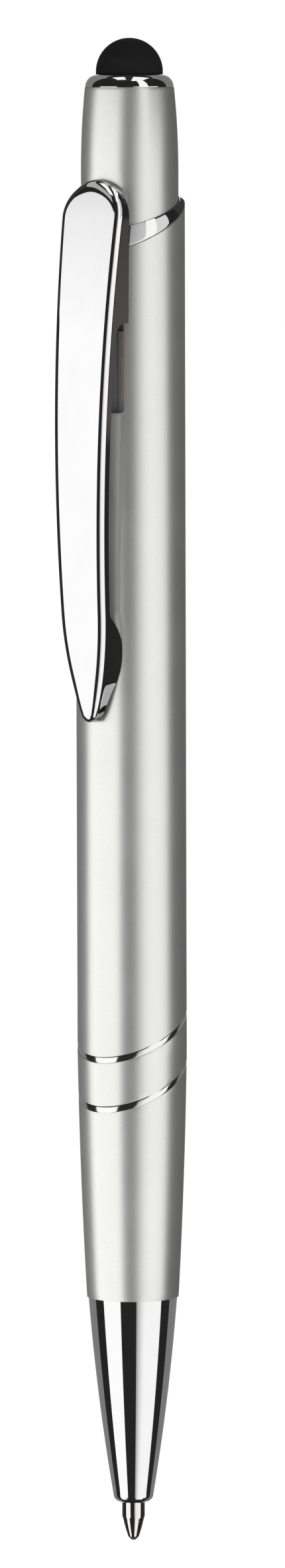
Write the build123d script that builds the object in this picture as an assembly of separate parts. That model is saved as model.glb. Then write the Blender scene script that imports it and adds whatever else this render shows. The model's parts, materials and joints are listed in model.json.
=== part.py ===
from build123d import *
import math
import os

# Stylus pen, in millimetres. Its axis is Z, its writing point is the origin, and its clip is towards -Y.

# Fits that all pieces share
overrun = 1.0  # how far a cutting shape runs past the piece it cuts
running_gap = 0.09  # radial clearance of sliding and turning fits
seat_gap = 0.03  # radial clearance of pieces that are pressed or glued together
passing_gap = 0.15  # clearance between pieces that move past each other

# Travel of the push button from the latched position, with the point out
retract_travel = 5.5
press_travel = 1.8

# Refill
refill_length = 106.8
refill_radius = 1.55
refill_wall = 0.4
point_radius = 1.07
point_length = 10.5  # metal point below the plastic tube
point_spigot = 3.5  # stretch of the point inside the tube
point_channel = 0.35
point_shoulder = 2.25  # where the straight point starts to taper
point_waist = 1.06
point_waist_radius = 0.75
point_lip = 0.22
point_lip_radius = 0.47
ball_radius = 0.4
ball_gap = 0.02
spring_stop = 26.0
spring_stop_radius = 2.2
spring_stop_height = 0.8
ink_length = 66.0
follower_length = 3.0
tail_plug_length = 3.0
tail_flange = 0.5

# Nose cone
point_reach = 3.75  # how far the point stands out of the nose cone
nose_length = 19.5
nose_base_radius = 4.17
nose_end_radius = 1.8
nose_bulge = 0.21
nose_edge_radius = 0.4
nose_land = 2.75  # guiding bore at the mouth
nose_throat = 4.5  # wider bore above it
spring_chamber_radius = 2.4
nose_shank = 7.0

# Spring between the nose cone and the refill
spring_radius = 1.98
wire_radius = 0.2
spring_turns = 8
spring_end_gap = 0.06

# Outer tube: grip, two slanted trim rings with a band between them, and barrel
barrel_radius = 5.15
barrel_wall = 0.5
grip_length = 20.65  # nose cone to the middle of the lower trim ring
grip_end_radius = 4.33
grip_bulge = 0.115
grip_edge = 0.1
grip_blend = 2.6  # the taper starts this far above the lower trim ring
band_length = 4.7  # between the middles of the trim rings
ring_height = 0.62
ring_recess = 0.06
ring_tilt = 26.3
mouth_tilt = 28.0
mouth_rise = 17.45  # end of the refill to the middle of the slanted mouth
mouth_ring_height = 1.05  # on the axis
mouth_ring_tilt = 23.7  # of its upper side
mouth_ring_round = 0.42

# Tube that joins the grip, the rings and the barrel, and takes the thread of the nose cone
joint_radius = 3.7
joint_wall = 0.55
joint_reach = 10.0  # above the middle of the upper trim ring

# Click mechanism: sleeve with ribs, rotor with fins, driver with a toothed crown
cam_wall = 1.12
rib_count = 4
rib_angle = 10.0
rib_turn = 18.7  # from the side of the clip to the first rib
rib_lead = 1.9  # ribs run this far past the retracting travel
rib_relief = 0.4  # depth of the groove behind each rib
rib_relief_round = 0.12
fin_offset_angle = 7.0  # each fin latches under one flank of its rib
fin_length = 3.2
fin_rise = 0.7  # above the lower end of the rotor
latch_gap = 0.6  # between fin and rib
plunger_radius = 2.6
plunger_wall = 0.6
rotor_cup = 4.5
rotor_crown = 1.8  # above the end of the refill
tooth_count = 8
tooth_height = 0.7
tooth_gap = 0.15
driver_height = 2.45
driver_bore = 1.2
driver_spigot = 2.8
plunger_socket = 5.0

# Push button: sleeve, clip carrier, stylus stem, collar and dome
sleeve_wall = 0.56
sleeve_reach = 12.55  # middle of the slanted mouth to the collar
sleeve_round = 7.8  # stretch that draws in towards the collar
sleeve_draw_in = 0.39
carrier_gap = 0.6  # above the ribbed sleeve when the button is pressed home
carrier_length = 14.4
collar_height = 1.2
collar_step = 0.02
collar_lip = 0.17
collar_floor = 0.2
collar_spigot = 2.2
collar_spigot_radius = 3.52
stem_radius = 1.8
stem_socket = 5.0
stem_head_radius = 2.3
stem_head_height = 2.2
stem_head_round = 0.8
dome_radius = 3.13
dome_wall = 0.8
dome_reach = 3.4

# Clip
clip_length = 50.9
clip_rise = 3.85  # top of the clip above the middle of the slanted mouth
clip_top_width = 6.68
clip_shoulder_width = 5.24
clip_tip_width = 1.5
clip_taper = 10.4  # length of the pointed end
clip_tip_round = 0.6
clip_crest_drop = 23.7  # top of the clip to the crest of its arch
clip_crest_rise = 3.5  # crest above the barrel
clip_top_fall = 2.65  # crest down to the top end
clip_tip_fall = 1.9  # crest down to the pointed end
clip_edge_round = 0.5
clip_face = 0.6
clip_flange = 0.55
clip_flange_depth = 1.32
clip_gap = 0.12  # above the barrel
clip_rim_gap = 0.3  # above the sleeve, where the clip rocks
clip_rim_slope = 2.0  # height over which the flanges step in from barrel to sleeve
block_length = 13.5  # deep flanges at the top of the clip
block_fillet = 1.2
block_corner = 0.5
ear_start = 9.8  # above the tip of the clip
ear_crest = 6.9
ear_reach = 4.7  # radius at which the ears end, inside the barrel's own
ear_heel = 5.9
slot_half_width = 2.63
slot_reach = 8.5  # below the block
slot_corner = 0.4
neck_gap = 0.25  # carrier inside the clip
neck_end_gap = 0.35
notch_gap = 0.06
ring_end_gap = 0.2
pivot_rise = 0.5  # pivot above the sleeve
pivot_radius = 0.6
pivot_depth = 0.25  # pivot inside the clip's flange
pivot_end_gap = 0.1

# Heights of the main faces, from the writing point upwards
nose_top_z = point_reach + nose_length
lower_ring_z = nose_top_z + grip_length
upper_ring_z = lower_ring_z + band_length
joint_top_z = upper_ring_z + joint_reach
mouth_z = refill_length + mouth_rise
collar_z = mouth_z + sleeve_reach
dome_z = collar_z + collar_height
top_z = dome_z + dome_reach
clip_top_z = mouth_z + clip_rise
clip_tip_z = clip_top_z - clip_length
clip_crest_z = clip_top_z - clip_crest_drop
block_z = clip_top_z - block_length
slot_z = block_z - slot_reach
rotor_z = refill_length - rotor_cup
rotor_top_z = refill_length + rotor_crown
fin_z = rotor_z + fin_rise
rib_z = fin_z + fin_length + latch_gap
cam_top_z = rib_z + retract_travel + rib_lead
carrier_z = cam_top_z + press_travel + carrier_gap
carrier_top_z = carrier_z + carrier_length
driver_z = rotor_top_z + tooth_gap
driver_top_z = driver_z + driver_height
spring_seat_z = point_reach + nose_land + nose_throat

# Radii that follow from the fits
barrel_bore = barrel_radius - barrel_wall
sleeve_radius = barrel_bore - running_gap
sleeve_bore = sleeve_radius - sleeve_wall
sleeve_top_radius = sleeve_radius - sleeve_draw_in
cam_radius = barrel_bore - seat_gap
cam_bore = cam_radius - cam_wall
plunger_bore = plunger_radius - plunger_wall
refill_bore = refill_radius - refill_wall
joint_bore = joint_radius - joint_wall
clip_crest = barrel_radius + clip_crest_rise
clip_pivot_z = clip_top_z - clip_top_width / 2
clip_pivot = sleeve_radius + pivot_rise


def midway(start, end, bulge):
    """The middle of a chord of (radius, height) points, pushed outwards by its bulge."""
    return ((start[0] + end[0]) / 2 + bulge, (start[1] + end[1]) / 2)


def turned(*outline):
    """A solid of revolution from a closed outline of lines and arcs in (radius, height)."""
    return revolve(Plane.XZ * make_face(list(outline)), Axis.Z)


def tube(outer, inner, low, high):
    """A plain tube, or a rod where the inner radius is zero."""
    corners = [(inner, low), (outer, low), (outer, high), (inner, high)]
    return turned(Polyline(*corners, close=True))


def slant(level, tilt):
    """A plane through the axis at the level, lowest on the side of the clip."""
    lean = math.radians(tilt)
    return Plane(origin=(0, 0, level), z_dir=(0, -math.sin(lean), math.cos(lean)))


def above(piece, plane):
    return split(piece, bisect_by=plane, keep=Keep.TOP)


def below(piece, plane):
    return split(piece, bisect_by=plane, keep=Keep.BOTTOM)


def around(count, piece, first_angle=0):
    """Copies of a piece, evenly spaced round the axis."""
    step = 360 / count
    return [Rot(0, 0, first_angle + step * number) * piece for number in range(count)]


def wedge(inner, outer, angle, low, high):
    """A sector of a tube, centred on the side of the clip."""
    corners = [(inner, low), (outer, low), (outer, high), (inner, high)]
    profile = Plane.XZ * make_face(Polyline(*corners, close=True))
    return Rot(0, 0, -90 - angle / 2) * revolve(profile, Axis.Z, revolution_arc=angle)


def outer_tube(recess):
    """The unbroken outside of grip, rings, band and barrel, drawn in by a recess."""
    grip_low = (grip_end_radius - recess, nose_top_z)
    grip_high = (barrel_radius - recess, lower_ring_z + grip_blend)
    top = mouth_z + barrel_radius + mouth_ring_height
    inner_low = (joint_radius, nose_top_z)
    inner_high = (joint_radius, top)
    outer_high = (barrel_radius - recess, top)
    return turned(
        Line(inner_low, grip_low),
        ThreePointArc(grip_low, midway(grip_low, grip_high, grip_bulge), grip_high),
        Line(grip_high, outer_high),
        Line(outer_high, inner_high),
        Line(inner_high, inner_low),
    )


def grip_sleeve():
    grip = below(outer_tube(0), slant(lower_ring_z - ring_height / 2, ring_tilt))
    rim = grip.edges().group_by(Axis.Z)[0].sort_by(SortBy.RADIUS)[-1]
    return chamfer(rim, grip_edge)


def trim_ring(level):
    """A polished slanted ring, set a little below the surface of its neighbours."""
    ring = above(outer_tube(ring_recess), slant(level - ring_height / 2, ring_tilt))
    return below(ring, slant(level + ring_height / 2, ring_tilt))


def centre_band():
    band = above(outer_tube(0), slant(lower_ring_z + ring_height / 2, ring_tilt))
    return below(band, slant(upper_ring_z - ring_height / 2, ring_tilt))


def barrel():
    body = above(outer_tube(0), slant(upper_ring_z + ring_height / 2, ring_tilt))
    body = below(body, slant(mouth_z, mouth_tilt))
    body -= tube(barrel_bore, 0, joint_top_z, mouth_z + barrel_radius)
    slot_height = mouth_z + overrun - slot_z
    slot = Rectangle(2 * slot_half_width, slot_height)
    slot = fillet(slot.vertices().group_by(Axis.Y)[0], slot_corner)
    slot = Plane.XZ * Pos(0, slot_z + slot_height / 2) * slot
    return body - extrude(slot, barrel_radius + overrun)


def mouth_ring():
    """The bright ring on the slanted mouth, rounded outside and open where the clip passes."""
    ring = tube(barrel_radius, barrel_bore, slot_z, mouth_z + barrel_radius + mouth_ring_height)
    ring = above(ring, slant(mouth_z, mouth_tilt))
    ring = below(ring, slant(mouth_z + mouth_ring_height, mouth_ring_tilt))
    top_face = ring.faces().filter_by(GeomType.PLANE).sort_by(Axis.Z)[-1]
    ring = fillet(top_face.edges().sort_by(Edge.length)[-1], mouth_ring_round)
    return ring - clip_prism(ring_end_gap)


def joint_tube():
    return tube(joint_radius - seat_gap, joint_bore, nose_top_z, joint_top_z)


def nose_cone():
    end = (nose_end_radius, point_reach)
    base = (nose_base_radius, nose_top_z)
    shank = joint_bore - seat_gap
    land = point_radius + running_gap
    throat = refill_radius + 2 * running_gap
    shank_top_z = nose_top_z + nose_shank
    inside = Polyline(
        base,
        (shank, nose_top_z),
        (shank, shank_top_z),
        (spring_chamber_radius, shank_top_z),
        (spring_chamber_radius, spring_seat_z),
        (throat, spring_seat_z),
        (throat, point_reach + nose_land),
        (land, point_reach + nose_land),
        (land, point_reach),
        end,
    )
    cone = turned(ThreePointArc(end, midway(end, base, nose_bulge), base), inside)
    rim = cone.edges().group_by(Axis.Z)[0].sort_by(SortBy.RADIUS)[-1]
    return fillet(rim, nose_edge_radius)


def cam_sleeve():
    """The ribbed sleeve that steers the rotor: ribs inside, and a relief groove behind each."""
    sleeve = tube(cam_radius, cam_bore, joint_top_z, cam_top_z)
    rib = wedge(plunger_radius + passing_gap, cam_bore + seat_gap, rib_angle, rib_z, cam_top_z)
    groove = wedge(cam_radius - rib_relief, cam_radius + overrun, rib_angle, rotor_z, cam_top_z + overrun)
    sleeve += around(rib_count, rib, rib_turn)
    sleeve -= around(rib_count, groove, rib_turn)
    uprights = sleeve.edges().filter_by(Axis.Z).filter_by(lambda edge: edge.length < cam_top_z - joint_top_z)
    flanks = uprights.group_by(lambda edge: math.hypot(edge.center().X, edge.center().Y))[-1]
    return fillet(flanks, rib_relief_round)


def return_spring():
    """A plain coil from the seat in the nose cone to the stop on the refill."""
    height = spring_stop - spring_seat_z - 2 * wire_radius - 2 * spring_end_gap
    path = Helix(height / spring_turns, height, spring_radius)
    wire = Plane(path @ 0, z_dir=path % 0) * Circle(wire_radius)
    return Pos(0, 0, spring_seat_z + wire_radius + spring_end_gap) * sweep(wire, path, is_frenet=True)


def refill_tube():
    body = tube(refill_radius, refill_bore, point_length, refill_length - tail_flange)
    stop = tube(spring_stop_radius, refill_bore, spring_stop, spring_stop + spring_stop_height)
    return body + stop


def refill_point():
    spigot = refill_bore - seat_gap
    spigot_z = point_length + point_spigot
    corners = [
        (0, point_lip),
        (point_lip_radius, point_lip),
        (point_waist_radius, point_waist),
        (point_radius, point_shoulder),
        (point_radius, point_length),
        (spigot, point_length),
        (spigot, spigot_z),
        (0, spigot_z),
    ]
    point = turned(Polyline(*corners, close=True))
    point -= Pos(0, 0, ball_radius) * Sphere(ball_radius + ball_gap)
    return point - tube(point_channel, 0, ball_radius, spigot_z + overrun)


def writing_ball():
    return Pos(0, 0, ball_radius) * Sphere(ball_radius)


def ink_column():
    low = point_length + point_spigot
    return tube(refill_bore - seat_gap, 0, low, low + ink_length)


def grease_follower():
    low = point_length + point_spigot + ink_length
    return tube(refill_bore - seat_gap, 0, low, low + follower_length)


def tail_plug():
    flange = tube(refill_radius, 0, refill_length - tail_flange, refill_length)
    plug = tube(refill_bore - seat_gap, 0, refill_length - tail_plug_length, refill_length)
    return flange + plug


def crown_cut(level, root):
    """Notches between the teeth of a crown, from the tips at the level to their roots."""
    half_pitch = plunger_radius * math.tan(math.pi / tooth_count)
    corners = [(-half_pitch, level), (half_pitch, level), (0, root)]
    notch = Plane.XZ * make_face(Polyline(*corners, close=True))
    return around(tooth_count, extrude(notch, plunger_radius + overrun))


def rotor():
    """The turning piece over the end of the refill: fins round it, a toothed crown on top."""
    body = tube(plunger_radius, 0, rotor_z, rotor_top_z)
    body -= tube(refill_radius + seat_gap, 0, rotor_z, refill_length + seat_gap)
    body -= crown_cut(rotor_top_z, rotor_top_z - tooth_height)
    root = plunger_radius - seat_gap
    fin = wedge(root, cam_bore - running_gap, rib_angle, fin_z, fin_z + fin_length)
    return body + around(rib_count, fin, rib_turn + fin_offset_angle)


def driver_crown():
    body = tube(plunger_radius, driver_bore, driver_z, driver_top_z)
    body -= crown_cut(driver_z, driver_z + tooth_height)
    return body + tube(plunger_bore - seat_gap, driver_bore, driver_top_z, driver_top_z + driver_spigot)


def plunger_tube():
    return tube(plunger_radius, plunger_bore, driver_top_z, carrier_z + plunger_socket)


def pusher_sleeve():
    low = (sleeve_bore, carrier_z)
    foot = (sleeve_radius, carrier_z)
    bend = (sleeve_radius, collar_z - sleeve_round)
    top = (sleeve_top_radius, collar_z)
    bore_top = (collar_spigot_radius + seat_gap, collar_z)
    shoulder = (collar_spigot_radius + seat_gap, carrier_top_z)
    sleeve = turned(
        Polyline(bore_top, shoulder, (sleeve_bore, carrier_top_z), low, foot, bend),
        TangentArc(bend, top, tangent=(0, 1)),
        Line(top, bore_top),
    )
    return sleeve - clip_prism(notch_gap - clip_flange - neck_gap)


def stylus_collar():
    """The bright collar that grips the foot of the dome, with a spigot in the sleeve."""
    rim = (sleeve_top_radius - collar_step, collar_z)
    lip = (dome_radius + collar_lip, dome_z)
    well = dome_radius + seat_gap
    hole = stem_radius + seat_gap
    spigot_z = collar_z - collar_spigot
    floor_z = collar_z + collar_floor
    inside = Polyline(
        lip,
        (well, dome_z),
        (well, floor_z),
        (hole, floor_z),
        (hole, spigot_z),
        (collar_spigot_radius, spigot_z),
        (collar_spigot_radius, collar_z),
        rim,
    )
    return turned(TangentArc(rim, lip, tangent=(0, 1)), inside)


def tip_stem():
    """The stem that holds collar and dome, pressed into the clip carrier."""
    floor_z = collar_z + collar_floor
    head = tube(stem_head_radius, 0, floor_z, floor_z + stem_head_height)
    head = fillet(head.edges().group_by(Axis.Z)[-1], stem_head_round)
    return head + tube(stem_radius, 0, carrier_top_z - stem_socket, floor_z)


def stylus_tip():
    """The soft hollow dome."""
    floor_z = collar_z + collar_floor
    centre = Pos(0, 0, top_z - dome_radius)
    cavity_radius = dome_radius - dome_wall
    dome = tube(dome_radius, 0, floor_z, top_z - dome_radius) + centre * Sphere(dome_radius)
    cavity = tube(cavity_radius, 0, floor_z, top_z - dome_radius) + centre * Sphere(cavity_radius)
    return above(dome - cavity, Plane.XY.offset(floor_z))


def clip_outline(growth):
    """The front of the clip: round top, long taper, pointed end. Growth moves its edge outwards."""
    top = clip_top_width / 2
    shoulder = (clip_shoulder_width / 2, clip_tip_z + clip_taper)
    drop = clip_pivot_z - shoulder[1]
    lean = math.atan2(drop, shoulder[0]) - math.acos(top / math.hypot(drop, shoulder[0]))
    start = (top * math.cos(lean), clip_pivot_z - top * math.sin(lean))
    tip = (clip_tip_width / 2, clip_tip_z)
    left_start, left_shoulder, left_tip = [(-point[0], point[1]) for point in (start, shoulder, tip)]
    outline = make_face(
        [
            ThreePointArc(start, (0, clip_top_z), left_start),
            Line(left_start, left_shoulder),
            TangentArc(left_shoulder, left_tip, tangent=(math.sin(lean), -math.cos(lean))),
            Line(left_tip, tip),
            TangentArc(shoulder, tip, tangent=(-math.sin(lean), -math.cos(lean))),
            Line(shoulder, start),
        ]
    )
    outline = fillet(outline.vertices().sort_by(Axis.Y)[:2], clip_tip_round)
    if growth:
        outline = offset(outline, growth, kind=Kind.INTERSECTION)
    return outline


def clip_prism(growth):
    """The clip's front, carried inwards to the pen's axis."""
    return extrude(Plane.XZ * clip_outline(growth), clip_crest + overrun)


def clip_fall(height):
    """How far the clip's arch has fallen from its crest at a height."""
    upper = height > clip_crest_z
    run = clip_top_z - clip_crest_z if upper else clip_crest_z - clip_tip_z
    fall = clip_top_fall if upper else clip_tip_fall
    arch_radius = (run**2 + fall**2) / (2 * fall)
    return arch_radius - math.sqrt(arch_radius**2 - (height - clip_crest_z) ** 2)


def clip_arch(depth, height):
    """A point (Y, Z) of the clip's arch, at a depth under its face."""
    return (depth + clip_fall(height) - clip_crest, height)


def arch_line(depth, high, low):
    """The clip's arch from a high point over the crest to a low point, at a depth."""
    upper = clip_arch(depth, (high + clip_crest_z) / 2)
    lower = clip_arch(depth, (low + clip_crest_z) / 2)
    crest = clip_arch(depth, clip_crest_z)
    return [
        ThreePointArc(clip_arch(depth, high), upper, crest),
        ThreePointArc(crest, lower, clip_arch(depth, low)),
    ]


def side_prism(outline):
    """A side outline (Y, Z), carried across the whole width of the clip."""
    return extrude(Plane.YZ * make_face(outline), clip_top_width, both=True)


def under_arch(depth):
    """All that lies between the clip's arch, at a depth, and the pen's axis."""
    high = clip_arch(depth, clip_top_z)
    low = clip_arch(depth, clip_tip_z)
    closing = Polyline(low, (0, clip_tip_z), (0, clip_top_z), high)
    return side_prism(arch_line(depth, clip_top_z, clip_tip_z) + [closing])


def clip_clearance():
    """The room under the clip between its block and its ears, and under its heel."""
    ear_z = clip_tip_z + ear_start
    crest_z = clip_tip_z + ear_crest
    high = clip_arch(clip_flange_depth, block_z)
    low = clip_arch(clip_flange_depth, ear_z)
    crest = (-ear_reach, crest_z)
    heel = (-ear_heel, clip_tip_z)
    block_edge = math.sqrt((barrel_radius + clip_gap) ** 2 - (clip_top_width / 2) ** 2)
    corner_high = (-block_edge, block_z + block_corner)
    corner_low = (-block_edge - block_corner, block_z)
    window = make_face(
        arch_line(clip_flange_depth, block_z, ear_z)
        + [
            TangentArc(crest, low, tangent=(0, 1)),
            Polyline(crest, (0, crest_z), (0, block_z + block_corner), corner_high),
            TangentArc(corner_high, corner_low, tangent=(0, -1)),
            Line(corner_low, high),
        ]
    )
    inner_corner = window.vertices().sort_by_distance(Vector(high[0], high[1]))[0]
    window = fillet(inner_corner, block_fillet)
    room = extrude(Plane.YZ * window, clip_top_width, both=True)
    under_heel = TangentArc(crest, heel, tangent=(0, -1))
    return room + side_prism([under_heel, Polyline(heel, (0, clip_tip_z), (0, crest_z), crest)])


def clip():
    """The sprung clip: an arched channel with deep flanges at the top and ears at the point."""
    skin = under_arch(0) & clip_prism(0)
    upper_face, lower_face = skin.faces().sort_by(Axis.Y)[:2]
    seam = upper_face.edges() & lower_face.edges()
    shell = fillet(upper_face.edges() + lower_face.edges() - seam, clip_edge_round)
    shell -= clip_clearance()
    shell -= under_arch(clip_face) & clip_prism(-clip_flange)
    shell -= clip_seat()
    return shell - pivots(running_gap / 2, pivot_depth + pivot_end_gap)


def clip_seat():
    """What the clip keeps clear of: the barrel, and above its mouth the slimmer sleeve."""
    corners = [
        (0, clip_tip_z - overrun),
        (barrel_radius + clip_gap, clip_tip_z - overrun),
        (barrel_radius + clip_gap, mouth_z),
        (sleeve_radius + clip_rim_gap, mouth_z + clip_rim_slope),
        (sleeve_radius + clip_rim_gap, clip_top_z + overrun),
        (0, clip_top_z + overrun),
    ]
    return turned(Polyline(*corners, close=True))


def pivots(gap, depth):
    """The pair of round pivots on the carrier, or the dimples that they sit in."""
    inner = clip_top_width / 2 - clip_flange - neck_gap
    length = neck_gap + depth + clip_flange
    pin = Cylinder(pivot_radius + gap, length, rotation=(0, 90, 0))
    places = [Pos(side * (inner - clip_flange + length / 2), -clip_pivot, clip_pivot_z) for side in (-1, 1)]
    return [place * pin for place in places]


def clip_carrier():
    """The moulded core of the button: it holds the plunger and the stem, and carries the clip."""
    body = tube(sleeve_bore - seat_gap, 0, carrier_z, carrier_top_z)
    neck = under_arch(clip_face + neck_end_gap) & clip_prism(-clip_flange - neck_gap)
    body += above(neck, Plane.XY.offset(carrier_z))
    body += pivots(0, pivot_depth)
    body -= tube(plunger_radius + seat_gap, 0, carrier_z, carrier_z + plunger_socket)
    return body - tube(stem_radius + seat_gap, 0, carrier_top_z - stem_socket, carrier_top_z)


pieces = {
    "stylus_tip": stylus_tip(),
    "tip_stem": tip_stem(),
    "stylus_collar": stylus_collar(),
    "pusher_sleeve": pusher_sleeve(),
    "clip_carrier": clip_carrier(),
    "plunger_tube": plunger_tube(),
    "driver_crown": driver_crown(),
    "clip": clip(),
    "rotor": rotor(),
    "tail_plug": tail_plug(),
    "grease_follower": grease_follower(),
    "ink_column": ink_column(),
    "refill_tube": refill_tube(),
    "refill_point": refill_point(),
    "writing_ball": writing_ball(),
    "return_spring": return_spring(),
    "cam_sleeve": cam_sleeve(),
    "joint_tube": joint_tube(),
    "mouth_ring": mouth_ring(),
    "barrel": barrel(),
    "upper_ring": trim_ring(upper_ring_z),
    "centre_band": centre_band(),
    "lower_ring": trim_ring(lower_ring_z),
    "grip_sleeve": grip_sleeve(),
    "nose_cone": nose_cone(),
}

os.makedirs("parts", exist_ok=True)
for name, piece in pieces.items():
    export_step(piece, f"parts/{name}.step")
    print(name, "solids", len(piece.solids()), "volume", round(piece.volume, 2))
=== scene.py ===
"""Stylus pen: its looks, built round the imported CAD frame, with a small studio and a camera."""

import json
import logging
import math
from dataclasses import dataclass, replace
from enum import Enum
from functools import cache
from typing import Callable, Sequence, Union

import bmesh
import bpy
from mathutils import Matrix, Vector


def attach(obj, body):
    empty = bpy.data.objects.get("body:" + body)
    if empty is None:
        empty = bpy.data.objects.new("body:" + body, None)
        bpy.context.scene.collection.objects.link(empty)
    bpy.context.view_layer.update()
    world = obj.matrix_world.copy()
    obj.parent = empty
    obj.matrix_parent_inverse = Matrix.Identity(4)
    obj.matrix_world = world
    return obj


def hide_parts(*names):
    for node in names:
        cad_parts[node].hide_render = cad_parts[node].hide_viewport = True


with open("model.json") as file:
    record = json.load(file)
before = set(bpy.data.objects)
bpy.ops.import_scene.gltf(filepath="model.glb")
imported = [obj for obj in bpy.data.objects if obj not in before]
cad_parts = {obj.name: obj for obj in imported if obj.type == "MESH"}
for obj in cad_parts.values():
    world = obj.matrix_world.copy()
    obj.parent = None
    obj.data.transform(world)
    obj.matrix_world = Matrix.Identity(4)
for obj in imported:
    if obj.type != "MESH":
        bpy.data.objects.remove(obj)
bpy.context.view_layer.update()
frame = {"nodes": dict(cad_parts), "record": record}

LOG = logging.getLogger("stylus_pen")
MM = 0.001
WELD = 2e-7
ORIGIN = (0, 0, 0)

# Sizes and angles that several classes share, in millimetres and degrees
BARREL_RADIUS = 5.15
BARREL_BORE = 4.65
MOUTH_Z = 124.25
MOUTH_TILT = 28.0
NOSE_TOP_Z = 23.25
CAMERA_AZIMUTH = 37.0

Point = tuple[float, float]
Triple = tuple[float, float, float]
Color = tuple[float, float, float, float]
Test = Callable[[Vector], bool]
Sockets = dict[str, Union["Value", Color, float]]

WHITE: Color = (1.0, 1.0, 1.0, 1.0)

# Sockets of a Mix node that mixes colours
MIX_FACTOR, MIX_FIRST, MIX_SECOND, MIX_RESULT = 0, 6, 7, 2


class Body(Enum):
    """The CAD bodies that new pieces ride on."""

    BARREL = "barrel"
    BUTTON = "button"
    CLIP = "clip"
    REFILL = "refill"


class Slot(Enum):
    """The record's material slots."""

    SATIN = "satin_silver"
    CHROME = "chrome"
    RUBBER = "stylus_rubber"
    STEEL = "steel"
    NICKEL = "nickel_tip"
    BRASS = "brass"
    DARK = "dark_plastic"
    GREY = "grey_plastic"
    CLEAR = "clear_plastic"
    INK = "ink"
    GREASE = "grease"


class Lit(Enum):
    """Groups of pieces that have panels of their own."""

    SATIN = "satin_pieces"
    CHROME = "chrome_pieces"
    CLIP = "clip_piece"
    MOUTH = "mouth_piece"

    def pieces(self) -> bpy.types.Collection:
        """The group's collection, made when it is first asked for."""
        found = bpy.data.collections.get(self.value)
        return found or bpy.data.collections.new(self.value)


class Keep(Enum):
    """Which side of a cutting plane stays."""

    ABOVE = "above"
    BELOW = "below"


# Shader expressions


class Value:
    """A shader socket that takes part in Python expressions; each operation adds a Math node."""

    def __init__(self, graph: "Graph", socket: bpy.types.NodeSocket) -> None:
        """Keeps the socket and the graph that it belongs to."""
        self.graph = graph
        self.socket = socket

    def _math(self, operation: str, *values: "Number") -> "Value":
        """Adds a Math node.

        Args:
            operation: Blender's name of the operation.
            values: the operands, in order.

        Returns:
            The node's result.
        """
        settings = {"operation": operation}
        return self.graph.node("ShaderNodeMath", settings, dict(enumerate(values)))

    def __add__(self, other: "Number") -> "Value":
        """The sum."""
        return self._math("ADD", self, other)

    __radd__ = __add__

    def __sub__(self, other: "Number") -> "Value":
        """The difference."""
        return self._math("SUBTRACT", self, other)

    def __rsub__(self, other: "Number") -> "Value":
        """The difference from a number."""
        return self._math("SUBTRACT", other, self)

    def __mul__(self, other: "Number") -> "Value":
        """The product."""
        return self._math("MULTIPLY", self, other)

    __rmul__ = __mul__

    def __truediv__(self, other: "Number") -> "Value":
        """The quotient."""
        return self._math("DIVIDE", self, other)

    def __abs__(self) -> "Value":
        """The size without its sign."""
        return self._math("ABSOLUTE", self)

    def larger(self, other: "Number") -> "Value":
        """The larger of the two."""
        return self._math("MAXIMUM", self, other)

    def clamped(self) -> "Value":
        """The value held between 0 and 1."""
        return self._math("MINIMUM", self.larger(0.0), 1.0)

    def centred(self) -> "Value":
        """A noise's value, counted from its middle."""
        return self - 0.5


Number = Union[Value, float]


class Graph:
    """The node tree of one material, or of the world."""

    def __init__(self, tree: bpy.types.NodeTree) -> None:
        """Starts with an empty tree."""
        self.tree = tree
        tree.nodes.clear()

    def node(
        self,
        kind: str,
        settings: dict | None = None,
        inputs: dict | None = None,
        output: str | int = 0,
    ) -> Value | None:
        """Adds any node.

        Args:
            kind: the node's type.
            settings: properties, which are set first.
            inputs: values or links, by the socket's name or number.
            output: the wanted output's name or number.

        Returns:
            The output as a value, or None from a node that ends the tree.
        """
        made = self.tree.nodes.new(kind)
        for key, setting in (settings or {}).items():
            setattr(made, key, setting)
        for key, value in (inputs or {}).items():
            if isinstance(value, Value):
                self.tree.links.new(value.socket, made.inputs[key])
            else:
                made.inputs[key].default_value = value
        return Value(self, made.outputs[output]) if made.outputs else None

    def place(self) -> Value:
        """The point of the surface in the object's own frame, in metres."""
        return self.node("ShaderNodeTexCoord", output="Object")

    def along(self, axis: str) -> Value:
        """The place of the point along X, Y or Z, in metres."""
        return self.node("ShaderNodeSeparateXYZ", None, {0: self.place()}, output=axis)

    def stretched(self, scale: Triple) -> Value:
        """The point of the surface, scaled along each axis."""
        return self.node("ShaderNodeMapping", None, {"Vector": self.place(), "Scale": scale})

    def noise(
        self, vector: Value, scale: float, detail: float = 2.0, roughness: float = 0.5
    ) -> Value:
        """A noise between 0 and 1.

        Args:
            vector: where it is read.
            scale: features per metre.
            detail: octaves.
            roughness: share of the finer octaves.

        Returns:
            The noise's value.
        """
        inputs = {"Vector": vector, "Scale": scale, "Detail": detail, "Roughness": roughness}
        return self.node("ShaderNodeTexNoise", None, inputs)

    def blend(self, factor: Number, first: Value | Color, second: Value | Color) -> Value:
        """A mix of two colours."""
        inputs = {MIX_FACTOR: factor, MIX_FIRST: first, MIX_SECOND: second}
        return self.node("ShaderNodeMix", {"data_type": "RGBA"}, inputs, MIX_RESULT)

    def bump(self, height: Value, depth: float, strength: float) -> Value:
        """A normal from a height.

        Args:
            height: between 0 and 1.
            depth: metres for a height of 1.
            strength: share of the effect.

        Returns:
            The normal.
        """
        inputs = {"Height": height, "Distance": depth, "Strength": strength}
        return self.node("ShaderNodeBump", None, inputs)

    def glow(self, color: Value | Color, strength: Number = 1.0) -> Value:
        """A plain light of one colour."""
        return self.node("ShaderNodeEmission", None, {"Color": color, "Strength": strength})

    def surface(self, shader: Value) -> None:
        """Ends a material's tree in a shader."""
        self.node("ShaderNodeOutputMaterial", None, {"Surface": shader})


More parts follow.
